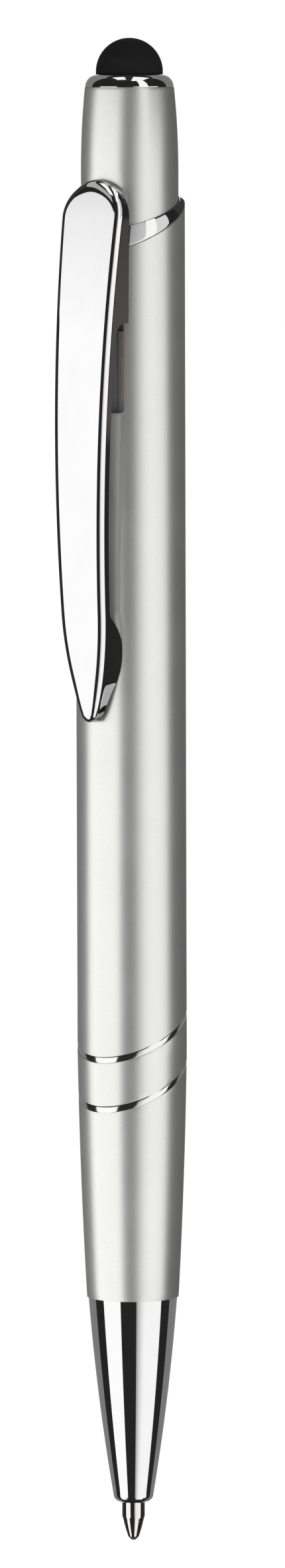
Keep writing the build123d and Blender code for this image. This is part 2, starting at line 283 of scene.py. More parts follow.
def new_material(name: str) -> tuple[bpy.types.Material, Graph]:
    """Makes a material with an empty tree.

    Args:
        name: its name.

    Returns:
        The material and its tree.
    """
    material = bpy.data.materials.new(name)
    material.use_nodes = True
    return material, Graph(material.node_tree)


# Finishes: depths and places are in metres, scales in features per metre


@dataclass(frozen=True)
class Finish:
    """A finish of the pen: a procedural material of a name and a main colour."""

    name: str
    color: Color
    roughness: float

    def surface(self, graph: Graph) -> Sockets:
        """The values of the shader's sockets, by their names."""
        raise NotImplementedError

    def shade(self, share: float) -> Color:
        """The main colour, darker or lighter by a share."""
        return (*(channel * share for channel in self.color[:3]), 1.0)

    @cache
    def material(self) -> bpy.types.Material:
        """Makes the material once, and hands it out again after that.

        Returns:
            The material.
        """
        made, graph = new_material(self.name)
        graph.surface(graph.node("ShaderNodeBsdfPrincipled", None, self.surface(graph)))
        return made


@dataclass(frozen=True)
class SatinMetal(Finish):
    """Pearl-blasted, anodised metal: a broad soft sheen with a fine grain."""

    metallic: float = 0.9
    grain: float = 6500.0
    grain_depth: float = 2.5e-6
    grain_strength: float = 0.5
    grain_gloss: float = 0.04
    grain_share: float = 0.65
    clouds: float = 180.0
    cloud_gloss: float = 0.05
    tone_start: float = 0.367
    tone_gain: float = 2.4
    dark: float = 0.93
    pale: float = 1.05

    def surface(self, graph: Graph) -> Sockets:
        """A fine bead-blasted grain over faint clouds of tone.

        Args:
            graph: the material's tree.

        Returns:
            The shader's values.
        """
        place = graph.place()
        grain = graph.noise(place, self.grain, detail=3.0, roughness=0.65)
        clouds = graph.noise(place, self.clouds)
        mixed = self.grain_share * grain + (1 - self.grain_share) * clouds
        tone = ((mixed - self.tone_start) * self.tone_gain).clamped()
        gloss = self.cloud_gloss * clouds.centred() + self.grain_gloss * grain.centred()
        return {
            "Base Color": graph.blend(tone, self.shade(self.dark), self.shade(self.pale)),
            "Metallic": self.metallic,
            "Roughness": self.roughness + gloss,
            "Normal": graph.bump(grain, self.grain_depth, self.grain_strength),
        }


@dataclass(frozen=True)
class PolishedMetal(Finish):
    """Polished plate with the faint haze of handling."""

    haze: float = 0.03
    haze_start: float = 0.16
    haze_gain: float = 3.0
    hazed: float = 0.97
    smears: float = 900.0
    smear_stretch: Triple = (1.0, 1.0, 0.25)
    clouds: float = 260.0

    def surface(self, graph: Graph) -> Sockets:
        """A mirror with patches of haze and a hint of tone.

        Args:
            graph: the material's tree.

        Returns:
            The shader's values.
        """
        wiped = graph.stretched(self.smear_stretch)
        smears = graph.noise(wiped, self.smears, detail=4.0, roughness=0.6)
        clouds = graph.noise(graph.place(), self.clouds)
        haze = ((smears * clouds - self.haze_start) * self.haze_gain).clamped()
        return {
            "Base Color": graph.blend(haze, self.color, self.shade(self.hazed)),
            "Metallic": 1.0,
            "Roughness": self.roughness + self.haze * haze,
        }


@dataclass(frozen=True)
class ClipPlate(PolishedMetal):
    """Polished plate, with painted shade on the lower facets of the clip's ears, for the shaded
    barrel that they mirror.
    """

    # Where the painted shade on the ears starts, how softly it fades in, and how dark it is
    shade_below_z: float = 0.0817
    shade_behind_y: float = -0.0066
    fade: float = 0.0004
    painted_shade: float = 0.42

    def surface(self, graph: Graph) -> Sockets:
        """The plate's mirror, with painted shade below and behind a line on the ears.

        Args:
            graph: the material's tree.

        Returns:
            The shader's values.
        """
        values = super().surface(graph)
        # Painted shade: the ears' lower facets are darkened, standing in for the shaded barrel
        # under the clip that they mirror
        below = ((self.shade_below_z - graph.along("Z")) / self.fade).clamped()
        behind = ((graph.along("Y") - self.shade_behind_y) / self.fade).clamped()
        plate = values["Base Color"]
        values["Base Color"] = graph.blend(below * behind, plate, self.shade(self.painted_shade))
        return values


@dataclass(frozen=True)
class TurnedMetal(Finish):
    """Metal with the fine marks of a lathe or a drawing die."""

    marks: Triple = (0.02, 0.02, 1.0)
    pitch: float = 16000.0
    mark_depth: float = 1.5e-6
    mark_strength: float = 0.4
    mark_gloss: float = 0.1
    tarnish: float = 700.0
    tarnish_gloss: float = 0.08
    spread: float = 1.0
    dark: float = 0.86
    pale: float = 1.04

    def surface(self, graph: Graph) -> Sockets:
        """Fine marks along or round the piece, with a little tarnish.

        Args:
            graph: the material's tree.

        Returns:
            The shader's values.
        """
        marks = graph.noise(graph.stretched(self.marks), self.pitch)
        tarnish = graph.noise(graph.place(), self.tarnish, detail=3.0)
        gloss = self.mark_gloss * marks.centred() + self.tarnish_gloss * tarnish.centred()
        return {
            "Base Color": graph.blend(tarnish, self.shade(self.dark), self.shade(self.pale)),
            "Metallic": 1.0,
            "Roughness": self.roughness + self.spread * gloss,
            "Normal": graph.bump(marks, self.mark_depth, self.mark_strength),
        }


@dataclass(frozen=True)
class SoftRubber(Finish):
    """Matte conductive rubber with a fine grain and a trace of dust."""

    grain: float = 5200.0
    grain_depth: float = 2.6e-5
    grain_strength: float = 0.6
    grain_gloss: float = 0.16
    dust: float = 620.0
    dust_gain: float = 3.0
    dusty: float = 1.9
    specular: float = 0.2

    def surface(self, graph: Graph) -> Sockets:
        """Fine pores, with paler dust where they are high.

        Args:
            graph: the material's tree.

        Returns:
            The shader's values.
        """
        place = graph.place()
        grain = graph.noise(place, self.grain, detail=4.0, roughness=0.7)
        dust = graph.noise(place, self.dust, detail=3.0, roughness=0.6).centred()
        settled = (dust * self.dust_gain).clamped() * grain
        return {
            "Base Color": graph.blend(settled, self.color, self.shade(self.dusty)),
            "Roughness": self.roughness + self.grain_gloss * grain.centred(),
            "Specular IOR Level": self.specular,
            "Normal": graph.bump(grain, self.grain_depth, self.grain_strength),
        }


@dataclass(frozen=True)
class MouldedPlastic(Finish):
    """Moulded plastic with flow marks and a spark-eroded texture."""

    texture: float = 6000.0
    texture_depth: float = 4e-6
    texture_strength: float = 0.35
    texture_gloss: float = 0.06
    flow: float = 1100.0
    flow_stretch: Triple = (1.0, 1.0, 0.15)
    flow_gloss: float = 0.14
    dark: float = 0.82
    pale: float = 1.15

    def surface(self, graph: Graph) -> Sockets:
        """A low texture over long flow marks.

        Args:
            graph: the material's tree.

        Returns:
            The shader's values.
        """
        texture = graph.noise(graph.place(), self.texture)
        flow = graph.noise(graph.stretched(self.flow_stretch), self.flow, detail=3.0)
        gloss = self.flow_gloss * flow.centred() + self.texture_gloss * texture.centred()
        return {
            "Base Color": graph.blend(flow, self.shade(self.dark), self.shade(self.pale)),
            "Roughness": self.roughness + gloss,
            "Normal": graph.bump(texture, self.texture_depth, self.texture_strength),
        }


@dataclass(frozen=True)
class LinedSleeve(MouldedPlastic):
    """Moulded plastic, with a painted highlight along each groove edge, and raw brass down each
    side of the slot that it shows through.
    """

    strip_x: float = 2.1e-3
    brass: Color = (0.8, 0.55, 0.33, 1.0)
    brass_least: float = 0.35
    # A pale line along each groove edge: a painted highlight, with its place, width, least share
    # and colour
    highlight_x: float = 1.86e-3
    highlight_width: float = 7e-5
    highlight_least: float = 0.3
    highlight_color: Color = (0.88, 0.89, 0.88, 1.0)
    fray: float = 6e-5
    fray_reach: float = 2.4e-4
    frays: float = 3000.0
    fray_stretch: Triple = (1.0, 1.0, 0.3)

    def surface(self, graph: Graph) -> Sockets:
        """Plastic in the middle, a painted highlight along the edge of its groove, and frayed
        brass beyond.

        Args:
            graph: the material's tree.

        Returns:
            The shader's values.
        """
        values = super().surface(graph)
        along = graph.stretched(self.fray_stretch)
        frayed = graph.noise(along, self.frays, detail=3.0, roughness=0.7)
        aside = abs(graph.along("X"))
        # Painted highlight: a pale line where the groove's edge would catch the light
        line = (1.0 - abs(aside - self.highlight_x) / self.highlight_width).clamped()
        painted_highlight = line * (self.highlight_least + (1 - self.highlight_least) * frayed)
        past = aside - self.strip_x + self.fray_reach * frayed.centred()
        strip = (past / self.fray).clamped()
        lined = strip * (self.brass_least + (1 - self.brass_least) * frayed)
        plastic = graph.blend(painted_highlight, values["Base Color"], self.highlight_color)
        values["Base Color"] = graph.blend(lined, plastic, self.brass)
        return values


@dataclass(frozen=True)
class ClearTube(Finish):
    """Clear extruded tube, faintly lined along its length."""

    lines: float = 5200.0
    line_stretch: Triple = (1.0, 1.0, 0.02)
    line_gloss: float = 0.08
    lined: float = 0.96
    clearness: float = 0.9
    ior: float = 1.49

    def surface(self, graph: Graph) -> Sockets:
        """Faint lines from the die.

        Args:
            graph: the material's tree.

        Returns:
            The shader's values.
        """
        lines = graph.noise(graph.stretched(self.line_stretch), self.lines)
        return {
            "Base Color": graph.blend(lines, self.shade(self.lined), self.color),
            "Roughness": self.roughness + self.line_gloss * lines,
            "Transmission Weight": self.clearness,
            "IOR": self.ior,
        }


@dataclass(frozen=True)
class Fluid(Finish):
    """Ink or grease in its tube: streaky and wet."""

    streaks: float = 1500.0
    streak_stretch: Triple = (1.0, 1.0, 0.08)
    streak_gloss: float = 0.1
    dark: float = 0.8
    pale: float = 1.2

    def surface(self, graph: Graph) -> Sockets:
        """Streaks along the tube.

        Args:
            graph: the material's tree.

        Returns:
            The shader's values.
        """
        streaks = graph.noise(graph.stretched(self.streak_stretch), self.streaks, detail=3.0)
        return {
            "Base Color": graph.blend(streaks, self.shade(self.dark), self.shade(self.pale)),
            "Roughness": self.roughness + self.streak_gloss * streaks.centred(),
        }


PLATE: Color = (0.75, 0.75, 0.75, 1.0)
NICKEL_SILVER: Color = (0.74, 0.735, 0.72, 1.0)
ALONG: Triple = (1.0, 1.0, 0.03)

FINISHES: dict[Slot, Finish] = {
    Slot.SATIN: SatinMetal("blasted_silver", (0.721, 0.721, 0.701, 1.0), 0.345),
    Slot.CHROME: PolishedMetal("polished_chrome", PLATE, 0.035),
    Slot.RUBBER: SoftRubber("dome_rubber", (0.010, 0.0094, 0.0093, 1.0), 0.8),
    Slot.STEEL: TurnedMetal("drawn_steel", (0.62, 0.62, 0.62, 1.0), 0.24, ALONG),
    Slot.NICKEL: TurnedMetal(
        "turned_nickel_silver", NICKEL_SILVER, 0.03, mark_depth=3e-7, spread=0.2
    ),
    Slot.BRASS: TurnedMetal("turned_brass", (0.75, 0.60, 0.32, 1.0), 0.26),
    # The dark sleeve carries a painted highlight along each groove edge
    Slot.DARK: LinedSleeve("dark_acetal", (0.24, 0.246, 0.256, 1.0), 0.25),
    Slot.GREY: MouldedPlastic("grey_acetal", (0.45, 0.46, 0.47, 1.0), 0.42),
    Slot.CLEAR: ClearTube("clear_tube", (0.93, 0.94, 0.93, 1.0), 0.06),
    Slot.INK: Fluid("ballpoint_ink", (0.02, 0.03, 0.16, 1.0), 0.22),
    Slot.GREASE: Fluid("follower_grease", (0.72, 0.66, 0.42, 1.0), 0.3),
}
ROLLED_CHROME = PolishedMetal("rolled_chrome", PLATE, 0.1)
# The clip's chrome, with painted shade on the lower facets of its ears
CLIP_CHROME = ClipPlate("clip_chrome", PLATE, 0.035)

LIGHTING: dict[Slot, Lit] = {Slot.SATIN: Lit.SATIN, Slot.CHROME: Lit.CHROME}


# Modelling bench


class Bench:
    """The steps that the pieces are modelled with, each a few of Blender's own operators."""

    @staticmethod
    def clear() -> None:
        """Leaves edit mode and deselects everything."""
        if bpy.context.mode != "OBJECT":
            bpy.ops.object.mode_set(mode="OBJECT")
        bpy.ops.object.select_all(action="DESELECT")

    @staticmethod
    def pick(piece: bpy.types.Object) -> None:
        """Makes one piece the only one that is selected.

        Args:
            piece: the piece.
        """
        Bench.clear()
        bpy.context.view_layer.objects.active = piece
        piece.select_set(True)

    @staticmethod
    def edit(piece: bpy.types.Object) -> None:
        """Opens one piece in edit mode, with nothing of it selected.

        Args:
            piece: the piece.
        """
        Bench.pick(piece)
        bpy.ops.object.mode_set(mode="EDIT")
        bpy.ops.mesh.select_mode(type="VERT")
        bpy.ops.mesh.select_all(action="DESELECT")

    @staticmethod
    def begin(name: str) -> bpy.types.Object:
        """Opens the primitive that was just added in edit mode, with all of it selected.

        Args:
            name: the piece's name.

        Returns:
            The piece.
        """
        piece = bpy.context.active_object
        piece.name = name
        bpy.ops.object.mode_set(mode="EDIT")
        bpy.ops.mesh.select_mode(type="VERT")
        Bench.select_whole()
        return piece

    @staticmethod
    def point(name: str, place: Sequence[float]) -> bpy.types.Object:
        """A new piece of one selected vertex, open in edit mode.

        Args:
            name: the piece's name.
            place: the vertex, in metres.

        Returns:
            The piece.
        """
        Bench.clear()
        bpy.ops.mesh.primitive_plane_add(size=MM)
        piece = Bench.begin(name)
        bpy.ops.mesh.merge(type="CENTER")
        bpy.ops.transform.translate(value=place)
        return piece

    @staticmethod
    def select_whole() -> None:
        """Selects all of the open piece."""
        bpy.ops.mesh.select_all(action="SELECT")

    @staticmethod
    def spin(angle: float, steps: int) -> None:
        """Spins all of the open piece round the pen's axis, by an angle in radians."""
        Bench.select_whole()
        bpy.ops.mesh.spin(steps=steps, angle=angle, center=ORIGIN, axis=(0, 0, 1))

    @staticmethod
    def extrude(step: Sequence[float]) -> None:
        """Extrudes what is selected by a step in metres."""
        bpy.ops.mesh.extrude_region_move(TRANSFORM_OT_translate={"value": tuple(step)})

    @staticmethod
    def select_edges(piece: bpy.types.Object, test: Test) -> None:
        """Selects the edges whose two ends pass a test.

        Args:
            piece: the piece in edit mode.
            test: says yes or no to a point in metres.
        """
        bpy.ops.mesh.select_mode(type="EDGE")
        bpy.ops.mesh.select_all(action="DESELECT")
        mesh = bmesh.from_edit_mesh(piece.data)
        for edge in mesh.edges:
            if all(test(end.co) for end in edge.verts):
                edge.select_set(True)
        mesh.select_flush_mode()
        bmesh.update_edit_mesh(piece.data)

    @staticmethod
    def lathe(name: str, outline: Sequence[Point], steps: int) -> bpy.types.Object:
        """Turns a closed outline round the pen's axis.

        Args:
            name: the piece's name.
            outline: (radius, height) in millimetres; the last point joins the first.
            steps: facets of a full turn.

        Returns:
            The piece, open in edit mode.
        """
        points = [Vector((radius * MM, 0.0, height * MM)) for radius, height in outline]
        piece = Bench.point(name, points[0])
        for start, end in zip(points, points[1:] + points[:1]):
            Bench.extrude(end - start)
        Bench.select_whole()
        bpy.ops.mesh.remove_doubles(threshold=WELD)
        Bench.spin(2 * math.pi, steps)
        Bench.close_up()
        return piece

    @staticmethod
    def close_up() -> None:
        """Merges what lies on top of each other and turns all faces outwards."""
        Bench.select_whole()
        bpy.ops.mesh.remove_doubles(threshold=WELD)
        bpy.ops.mesh.dissolve_degenerate(threshold=WELD)
        Bench.select_whole()
        bpy.ops.mesh.delete_loose(use_verts=True, use_edges=True, use_faces=False)
        Bench.select_whole()
        bpy.ops.mesh.normals_make_consistent(inside=False)

    @staticmethod
    def slice(level: float, tilt: float, keep: Keep) -> None:
        """Cuts a tube with a slanted plane, lowest at the clip, and closes its end.

        Args:
            level: height of the plane on the axis, in millimetres.
            tilt: degrees from level.
            keep: the side that stays.
        """
        slope = math.radians(tilt)
        bpy.ops.mesh.select_mode(type="EDGE")
        Bench.select_whole()
        bpy.ops.mesh.bisect(
            plane_co=(0, 0, level * MM),
            plane_no=(0, -math.sin(slope), math.cos(slope)),
            clear_inner=keep is Keep.ABOVE,
            clear_outer=keep is Keep.BELOW,
            threshold=WELD,
        )
        bpy.ops.mesh.bridge_edge_loops()
        Bench.close_up()

    @staticmethod
    def modify(piece: bpy.types.Object, kind: str, **settings: object) -> None:
        """Adds a modifier and applies it.

        Args:
            piece: the piece.
            kind: Blender's type of the modifier.
            settings: its properties.
        """
        Bench.pick(piece)
        modifier = piece.modifiers.new(kind.lower(), kind)
        for key, setting in settings.items():
            setattr(modifier, key, setting)
        bpy.ops.object.modifier_apply(modifier=modifier.name)

    @staticmethod
    def cut(piece: bpy.types.Object, cutter: bpy.types.Object) -> None:
        """Takes the shape of a cutter out of a piece, and removes the cutter."""
        Bench.modify(piece, "BOOLEAN", operation="DIFFERENCE", solver="EXACT", object=cutter)
        bpy.data.objects.remove(cutter)

    @staticmethod
    def round_edges(
        piece: bpy.types.Object, width: float, segments: int = 3, angle: float = 40.0
    ) -> None:
        """Rounds every edge that is sharper than an angle.

        Args:
            piece: the piece.
            width: in millimetres.
            segments: facets of the rounding.
            angle: degrees.
        """
        Bench.modify(
            piece,
            "BEVEL",
            width=width * MM,
            segments=segments,
            limit_method="ANGLE",
            angle_limit=math.radians(angle),
            use_clamp_overlap=True,
        )

    @staticmethod
    def smooth(piece: bpy.types.Object, angle: float = 35.0) -> None:
        """Shades a piece smooth, except across edges that are sharper than an angle in degrees."""
        Bench.pick(piece)
        bpy.ops.object.shade_smooth_by_angle(angle=math.radians(angle))

    @staticmethod
    def settle(piece: bpy.types.Object, weight: int = 60) -> None:
        """Shades a piece smooth, ruled by its large faces so that roundings don't bend them."""
        Bench.smooth(piece)
        Bench.modify(piece, "WEIGHTED_NORMAL", keep_sharp=True, weight=weight)


def quarter_turns(count: int) -> list[float]:
    """Evenly spread angles from nothing to a quarter turn, in radians."""
    return [math.pi / 2 * index / count for index in range(count + 1)]


def held(share: float) -> float:
    """A number held between 0 and 1."""
    return max(0.0, min(1.0, share))


def eased(share: float) -> float:
    """A share from 0 to 1 that starts and ends gently."""
    return share**2 * (3 - 2 * share)


def arc_points(start: Point, end: Point, bulge: float, count: int) -> list[Point]:
    """Points of a circular arc, without its start.

    Args:
        start: first point.
        end: last point.
        bulge: how far the middle stands out to the right of the way from start to end.
        count: how many points.

    Returns:
        The points, the last one at the end.
    """
    run = Vector(end) - Vector(start)
    ahead = run.normalized()
    aside = Vector((run.y, -run.x)).normalized()
    half = run.length / 2
    radius = (half**2 + bulge**2) / (2 * bulge)
    spread = math.asin(half / radius)
    centre = (Vector(start) + Vector(end)) / 2 - aside * (radius - bulge)
    turns = [spread * (2 * index / count - 1) for index in range(1, count + 1)]
    return [
        tuple(centre + aside * radius * math.cos(turn) + ahead * radius * math.sin(turn))
        for turn in turns
    ]


def tangent_arc(start: Point, end: Point, count: int) -> list[Point]:
    """Points of an arc that leaves its start straight up and bends inwards, without its start.

    Args:
        start: first point, (radius, height).
        end: last point.
        count: how many points.

    Returns:
        The points, the last one at the end.
    """
    inwards, up = start[0] - end[0], end[1] - start[1]
    radius = (inwards**2 + up**2) / (2 * inwards)
    spread = math.asin(min(1.0, up / radius))
    if inwards > radius:
        spread = math.pi - spread
    turns = [spread * index / count for index in range(1, count + 1)]
    return [
        (start[0] - radius * (1 - math.cos(turn)), start[1] + radius * math.sin(turn))
        for turn in turns
    ]


# Sub-assemblies of the pen: sizes are in millimetres and degrees


@dataclass
class SubAssembly:
    """A group of pieces that are built, dressed and reported together."""

    body: Body

    def finish(
        self,
        piece: bpy.types.Object,
        node: str,
        slot: Slot,
        lit: Lit | None = None,
        look: Finish | None = None,
    ) -> None:
        """Dresses a new piece and puts it in the place of its CAD node.

        Args:
            piece: the finished mesh.
            node: the CAD node that it stands for.
            slot: the record's slot of its finish.
            lit: its group of panels, where that isn't the slot's.
            look: its own finish, where that isn't the slot's.
        """
        Bench.clear()
        piece.data.materials.append((look or FINISHES[slot]).material())
        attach(piece, self.body.value)
        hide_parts(node)
        lit = lit or LIGHTING.get(slot)
        if lit:
            lit.pieces().objects.link(piece)
        faces = len(piece.data.polygons)
        LOG.info("%s stands for %s on %s: %d faces", piece.name, node, self.body.value, faces)

    def finish_satin(
        self, piece: bpy.types.Object, node: str, edge: float, facets: int = 3
    ) -> None:
        """Rounds the edges of a satin piece, then dresses it.

        Args:
            piece: the mesh.
            node: the CAD node that it stands for.
            edge: width of the rounding.
            facets: facets of the rounding.
        """
        Bench.round_edges(piece, edge, facets)
        Bench.settle(piece)
        self.finish(piece, node, Slot.SATIN)

    def build(self) -> None:
        """Builds and dresses the pieces."""
        raise NotImplementedError


@dataclass
class WritingEnd(SubAssembly):
    """The mirror-bright nose cone."""

    body: Body = Body.BARREL
    mouth_z: float = 3.7
    top_z: float = NOSE_TOP_Z
    base_radius: float = 4.2
    bulge: float = 0.21
    cone_facets: int = 36
    lip_radius: float = 1.22
    cheek_radius: float = 1.9
    cheek_z: float = 4.42
    cheek_bulge: float = 0.2
    cheek_facets: int = 10
    shank_radius: float = 3.12
    shank_top_z: float = 30.1
    chamber_radius: float = 2.4
    chamber_z: float = 11.0
    throat_radius: float = 1.73
    land_radius: float = 1.16
    land_z: float = 6.5
    steps: int = 160

    def build(self) -> None:
        """Turns the cone with its rounded mouth and stepped bore."""
        lip = (self.lip_radius, self.mouth_z)
        cheek = (self.cheek_radius, self.cheek_z)
        base = (self.base_radius, self.top_z)
        outline = [
            (self.land_radius, self.mouth_z),
            lip,
            *arc_points(lip, cheek, self.cheek_bulge, self.cheek_facets),
            *arc_points(cheek, base, self.bulge, self.cone_facets),
            (self.shank_radius, self.top_z),
            (self.shank_radius, self.shank_top_z),
            (self.chamber_radius, self.shank_top_z),
            (self.chamber_radius, self.chamber_z),
            (self.throat_radius, self.chamber_z),
            (self.throat_radius, self.land_z),
            (self.land_radius, self.land_z),
        ]
        cone = Bench.lathe("polished_nose_cone", outline, self.steps)
        Bench.smooth(cone)
        self.finish(cone, "nose_cone", Slot.CHROME)


@dataclass
class RefillEnd(SubAssembly):
    """The metal point of the refill, open at its end for the ball."""

    body: Body = Body.REFILL
    shank_radius: float = 1.07
    shoulder_z: float = 2.34
    cone_radius: float = 0.97
    cone_z: float = 2.02
    cone_bulge: float = 0.025
    cone_facets: int = 14
    nose_radius: float = 0.53
    nose_z: float = 0.44
    lip_radius: float = 0.41
    lip_z: float = 0.26
    lip_bulge: float = 0.02
    lip_facets: int = 5
    seat_radius: float = 0.36
    bore_radius: float = 0.35
    bore_z: float = 0.8
    top_z: float = 10.5
    edge: float = 0.03
    edge_facets: int = 2
    edge_angle: float = 50.0
    smooth_angle: float = 30.0
    steps: int = 96

    def build(self) -> None:
        """Turns the shank with its shoulder, the cone and the lip that is rolled over the ball."""
        lip = (self.lip_radius, self.lip_z)
        nose = (self.nose_radius, self.nose_z)
        cone = (self.cone_radius, self.cone_z)
        outline = [
            (self.seat_radius, self.lip_z),
            lip,
            *arc_points(lip, nose, self.lip_bulge, self.lip_facets),
            *arc_points(nose, cone, self.cone_bulge, self.cone_facets),
            (self.shank_radius, self.shoulder_z),
            (self.shank_radius, self.top_z),
            (self.bore_radius, self.top_z),
            (self.bore_radius, self.bore_z),
        ]
        point = Bench.lathe("turned_point", outline, self.steps)
        Bench.round_edges(point, self.edge, self.edge_facets, self.edge_angle)
        Bench.smooth(point, self.smooth_angle)
        self.finish(point, "refill_point", Slot.NICKEL)


@dataclass(frozen=True)
class SlantedRing:
    """A ring between two slanted planes, lowest at the clip."""

    name: str
    low_z: float
    low_tilt: float
    high_z: float
    high_tilt: float
    steps: int = 256

    def level(self, share: float) -> float:
        """Height on the axis of the slanted loop at a share of the way up."""
        return self.low_z + (self.high_z - self.low_z) * share

    def steepness(self, share: float) -> float:
        """Slope of the loop at a share of the way up."""
        return math.tan(math.radians(self.low_tilt + (self.high_tilt - self.low_tilt) * share))

    def build(self, section: Sequence[Point]) -> bpy.types.Object:
        """Extrudes a slanted ellipse round a section and closes it.

        Args:
            section: points (radius, share of the way up); the first is on the lower plane.

        Returns:
            The ring.
        """
        slope = math.radians(self.low_tilt)
        Bench.clear()
        bpy.ops.mesh.primitive_circle_add(vertices=self.steps, radius=section[0][0] * MM)
        ring = Bench.begin(self.name)
        bpy.ops.transform.resize(value=(1, 1 / math.cos(slope), 1), center_override=ORIGIN)
        bpy.ops.transform.rotate(value=-slope, orient_axis="X", center_override=ORIGIN)
        bpy.ops.transform.translate(value=(0, 0, self.low_z * MM))
        after = [*section[1:], section[0]]
        for (radius, share), (next_radius, next_share) in zip(section, after):
            Bench.extrude((0, 0, (self.level(next_share) - self.level(share)) * MM))
            wide = next_radius / radius
            tall = wide * self.steepness(next_share) / self.steepness(share)
            centre = (0, 0, self.level(next_share) * MM)
            bpy.ops.transform.resize(value=(wide, wide, tall), center_override=centre)
        Bench.close_up()
        Bench.clear()
        return ring


@dataclass
class OuterTube(SubAssembly):
    """Grip, trim rings, band and barrel: one unbroken outline, cut by slanted planes."""

    body: Body = Body.BARREL
    radius: float = BARREL_RADIUS
    bore: float = BARREL_BORE
    joint_radius: float = 3.7
    joint_top_z: float = 58.6
    grip_end_radius: float = 4.33
    grip_bulge: float = 0.115
    grip_facets: int = 40
    grip_low_z: float = NOSE_TOP_Z
    grip_high_z: float = 46.5
    lower_ring_z: float = 43.9
    upper_ring_z: float = 48.6
    ring_height: float = 0.62
    lower_ring_radius: float = 5.06
    upper_ring_radius: float = 5.12
    ring_profile: tuple[Point, ...] = (
        (0.02, 0.0),
        (0.004, 0.1),
        (0.0, 0.25),
        (0.0, 0.55),
        (0.004, 0.72),
        (0.016, 0.86),
        (0.04, 0.96),
        (0.06, 1.0),
    )
    ring_tilt: float = 26.3
    mouth_z: float = MOUTH_Z
    mouth_tilt: float = MOUTH_TILT
    slot_z: float = 106.6
    slot_half_width: float = 2.63
    slot_corner: float = 0.4
    slot_corner_facets: int = 5
    edge: float = 0.09
    barrel_edge_facets: int = 2
    steps: int = 192

    def turn(self, name: str, top_z: float, inside: Sequence[Point]) -> bpy.types.Object:
        """Turns a tube with the pen's outside, from the foot of the grip up to a height.

        Args:
            name: the piece's name.
            top_z: where it ends.
            inside: (radius, height) of the bore, downwards from there.

        Returns:
            The piece, open in edit mode.
        """
        low = (self.grip_end_radius, self.grip_low_z)
        high = (self.radius, self.grip_high_z)
        taper = arc_points(low, high, self.grip_bulge, self.grip_facets)
        foot = (self.joint_radius, self.grip_low_z)
        outline = [foot, low, *taper, (self.radius, top_z), *inside]
        return Bench.lathe(name, outline, self.steps)

    def build(self) -> None:
        """Builds the five pieces upwards."""
        self.build_grip()
        self.build_ring("lower_trim_ring", "lower_ring", self.lower_ring_z, self.lower_ring_radius)
        self.build_band()
        self.build_ring("upper_trim_ring", "upper_ring", self.upper_ring_z, self.upper_ring_radius)
        self.build_barrel()

    def build_grip(self) -> None:
        """The tapered grip, with a slanted top."""
        end = (self.joint_radius, self.upper_ring_z)
        grip = self.turn("satin_grip", self.upper_ring_z, [end])
        Bench.slice(self.lower_ring_z - self.ring_height / 2, self.ring_tilt, Keep.BELOW)
        self.finish_satin(grip, "grip_sleeve", self.edge)

    def build_ring(self, name: str, node: str, level: float, radius: float) -> None:
        """A slanted trim ring, rolled over along its upper edge.

        Args:
            name: the piece's name.
            node: the CAD node that it stands for.
            level: height of its middle on the axis.
            radius: how far its outside stands out.
        """
        low, high = level - self.ring_height / 2, level + self.ring_height / 2
        section = [(radius - inset, share) for inset, share in self.ring_profile]
        section += [(self.joint_radius, 1.0), (self.joint_radius, 0.0)]
        ring = SlantedRing(name, low, self.ring_tilt, high, self.ring_tilt).build(section)
        Bench.smooth(ring)
        self.finish(ring, node, Slot.CHROME, look=ROLLED_CHROME)

    def build_band(self) -> None:
        """The satin band between the trim rings."""
        end = (self.joint_radius, self.joint_top_z)
        band = self.turn("satin_band", self.joint_top_z, [end])
        Bench.slice(self.lower_ring_z + self.ring_height / 2, self.ring_tilt, Keep.ABOVE)
        Bench.slice(self.upper_ring_z - self.ring_height / 2, self.ring_tilt, Keep.BELOW)
        self.finish_satin(band, "centre_band", self.edge)

    def build_barrel(self) -> None:
        """The long tube with a slanted mouth, and the slot that the clip's foot slides in."""
        top_z = self.mouth_z + self.radius
        step = (self.bore, self.joint_top_z)
        end = (self.joint_radius, self.joint_top_z)
        barrel = self.turn("satin_barrel", top_z, [(self.bore, top_z), step, end])
        Bench.slice(self.upper_ring_z + self.ring_height / 2, self.ring_tilt, Keep.ABOVE)
        Bench.slice(self.mouth_z, self.mouth_tilt, Keep.BELOW)
        Bench.cut(barrel, self.slot_cutter(top_z))
        self.finish_satin(barrel, "barrel", self.edge, self.barrel_edge_facets)

    def slot_cutter(self, top_z: float) -> bpy.types.Object:
        """A block with rounded lower corners that cuts the slot.

        Args:
            top_z: where it ends above the mouth.

        Returns:
            The cutter.
        """
        Bench.clear()
        low, high = self.slot_z * MM, top_z * MM
        middle = (0, -self.radius * MM, (low + high) / 2)
        bpy.ops.mesh.primitive_cube_add(size=1.0, location=middle)
        cutter = Bench.begin("slot_cutter")
        size = (2 * self.slot_half_width * MM, self.radius * MM, high - low)
        bpy.ops.transform.resize(value=size)
        bpy.ops.object.mode_set(mode="OBJECT")
        bpy.ops.object.transform_apply(location=True, rotation=True, scale=True)
        Bench.edit(cutter)
        Bench.select_edges(cutter, lambda end: end.z < low + WELD and abs(end.x) > MM)
        offset, facets = self.slot_corner * MM, self.slot_corner_facets
        bpy.ops.mesh.bevel(offset=offset, segments=facets, affect="EDGES")
        Bench.clear()
        return cutter


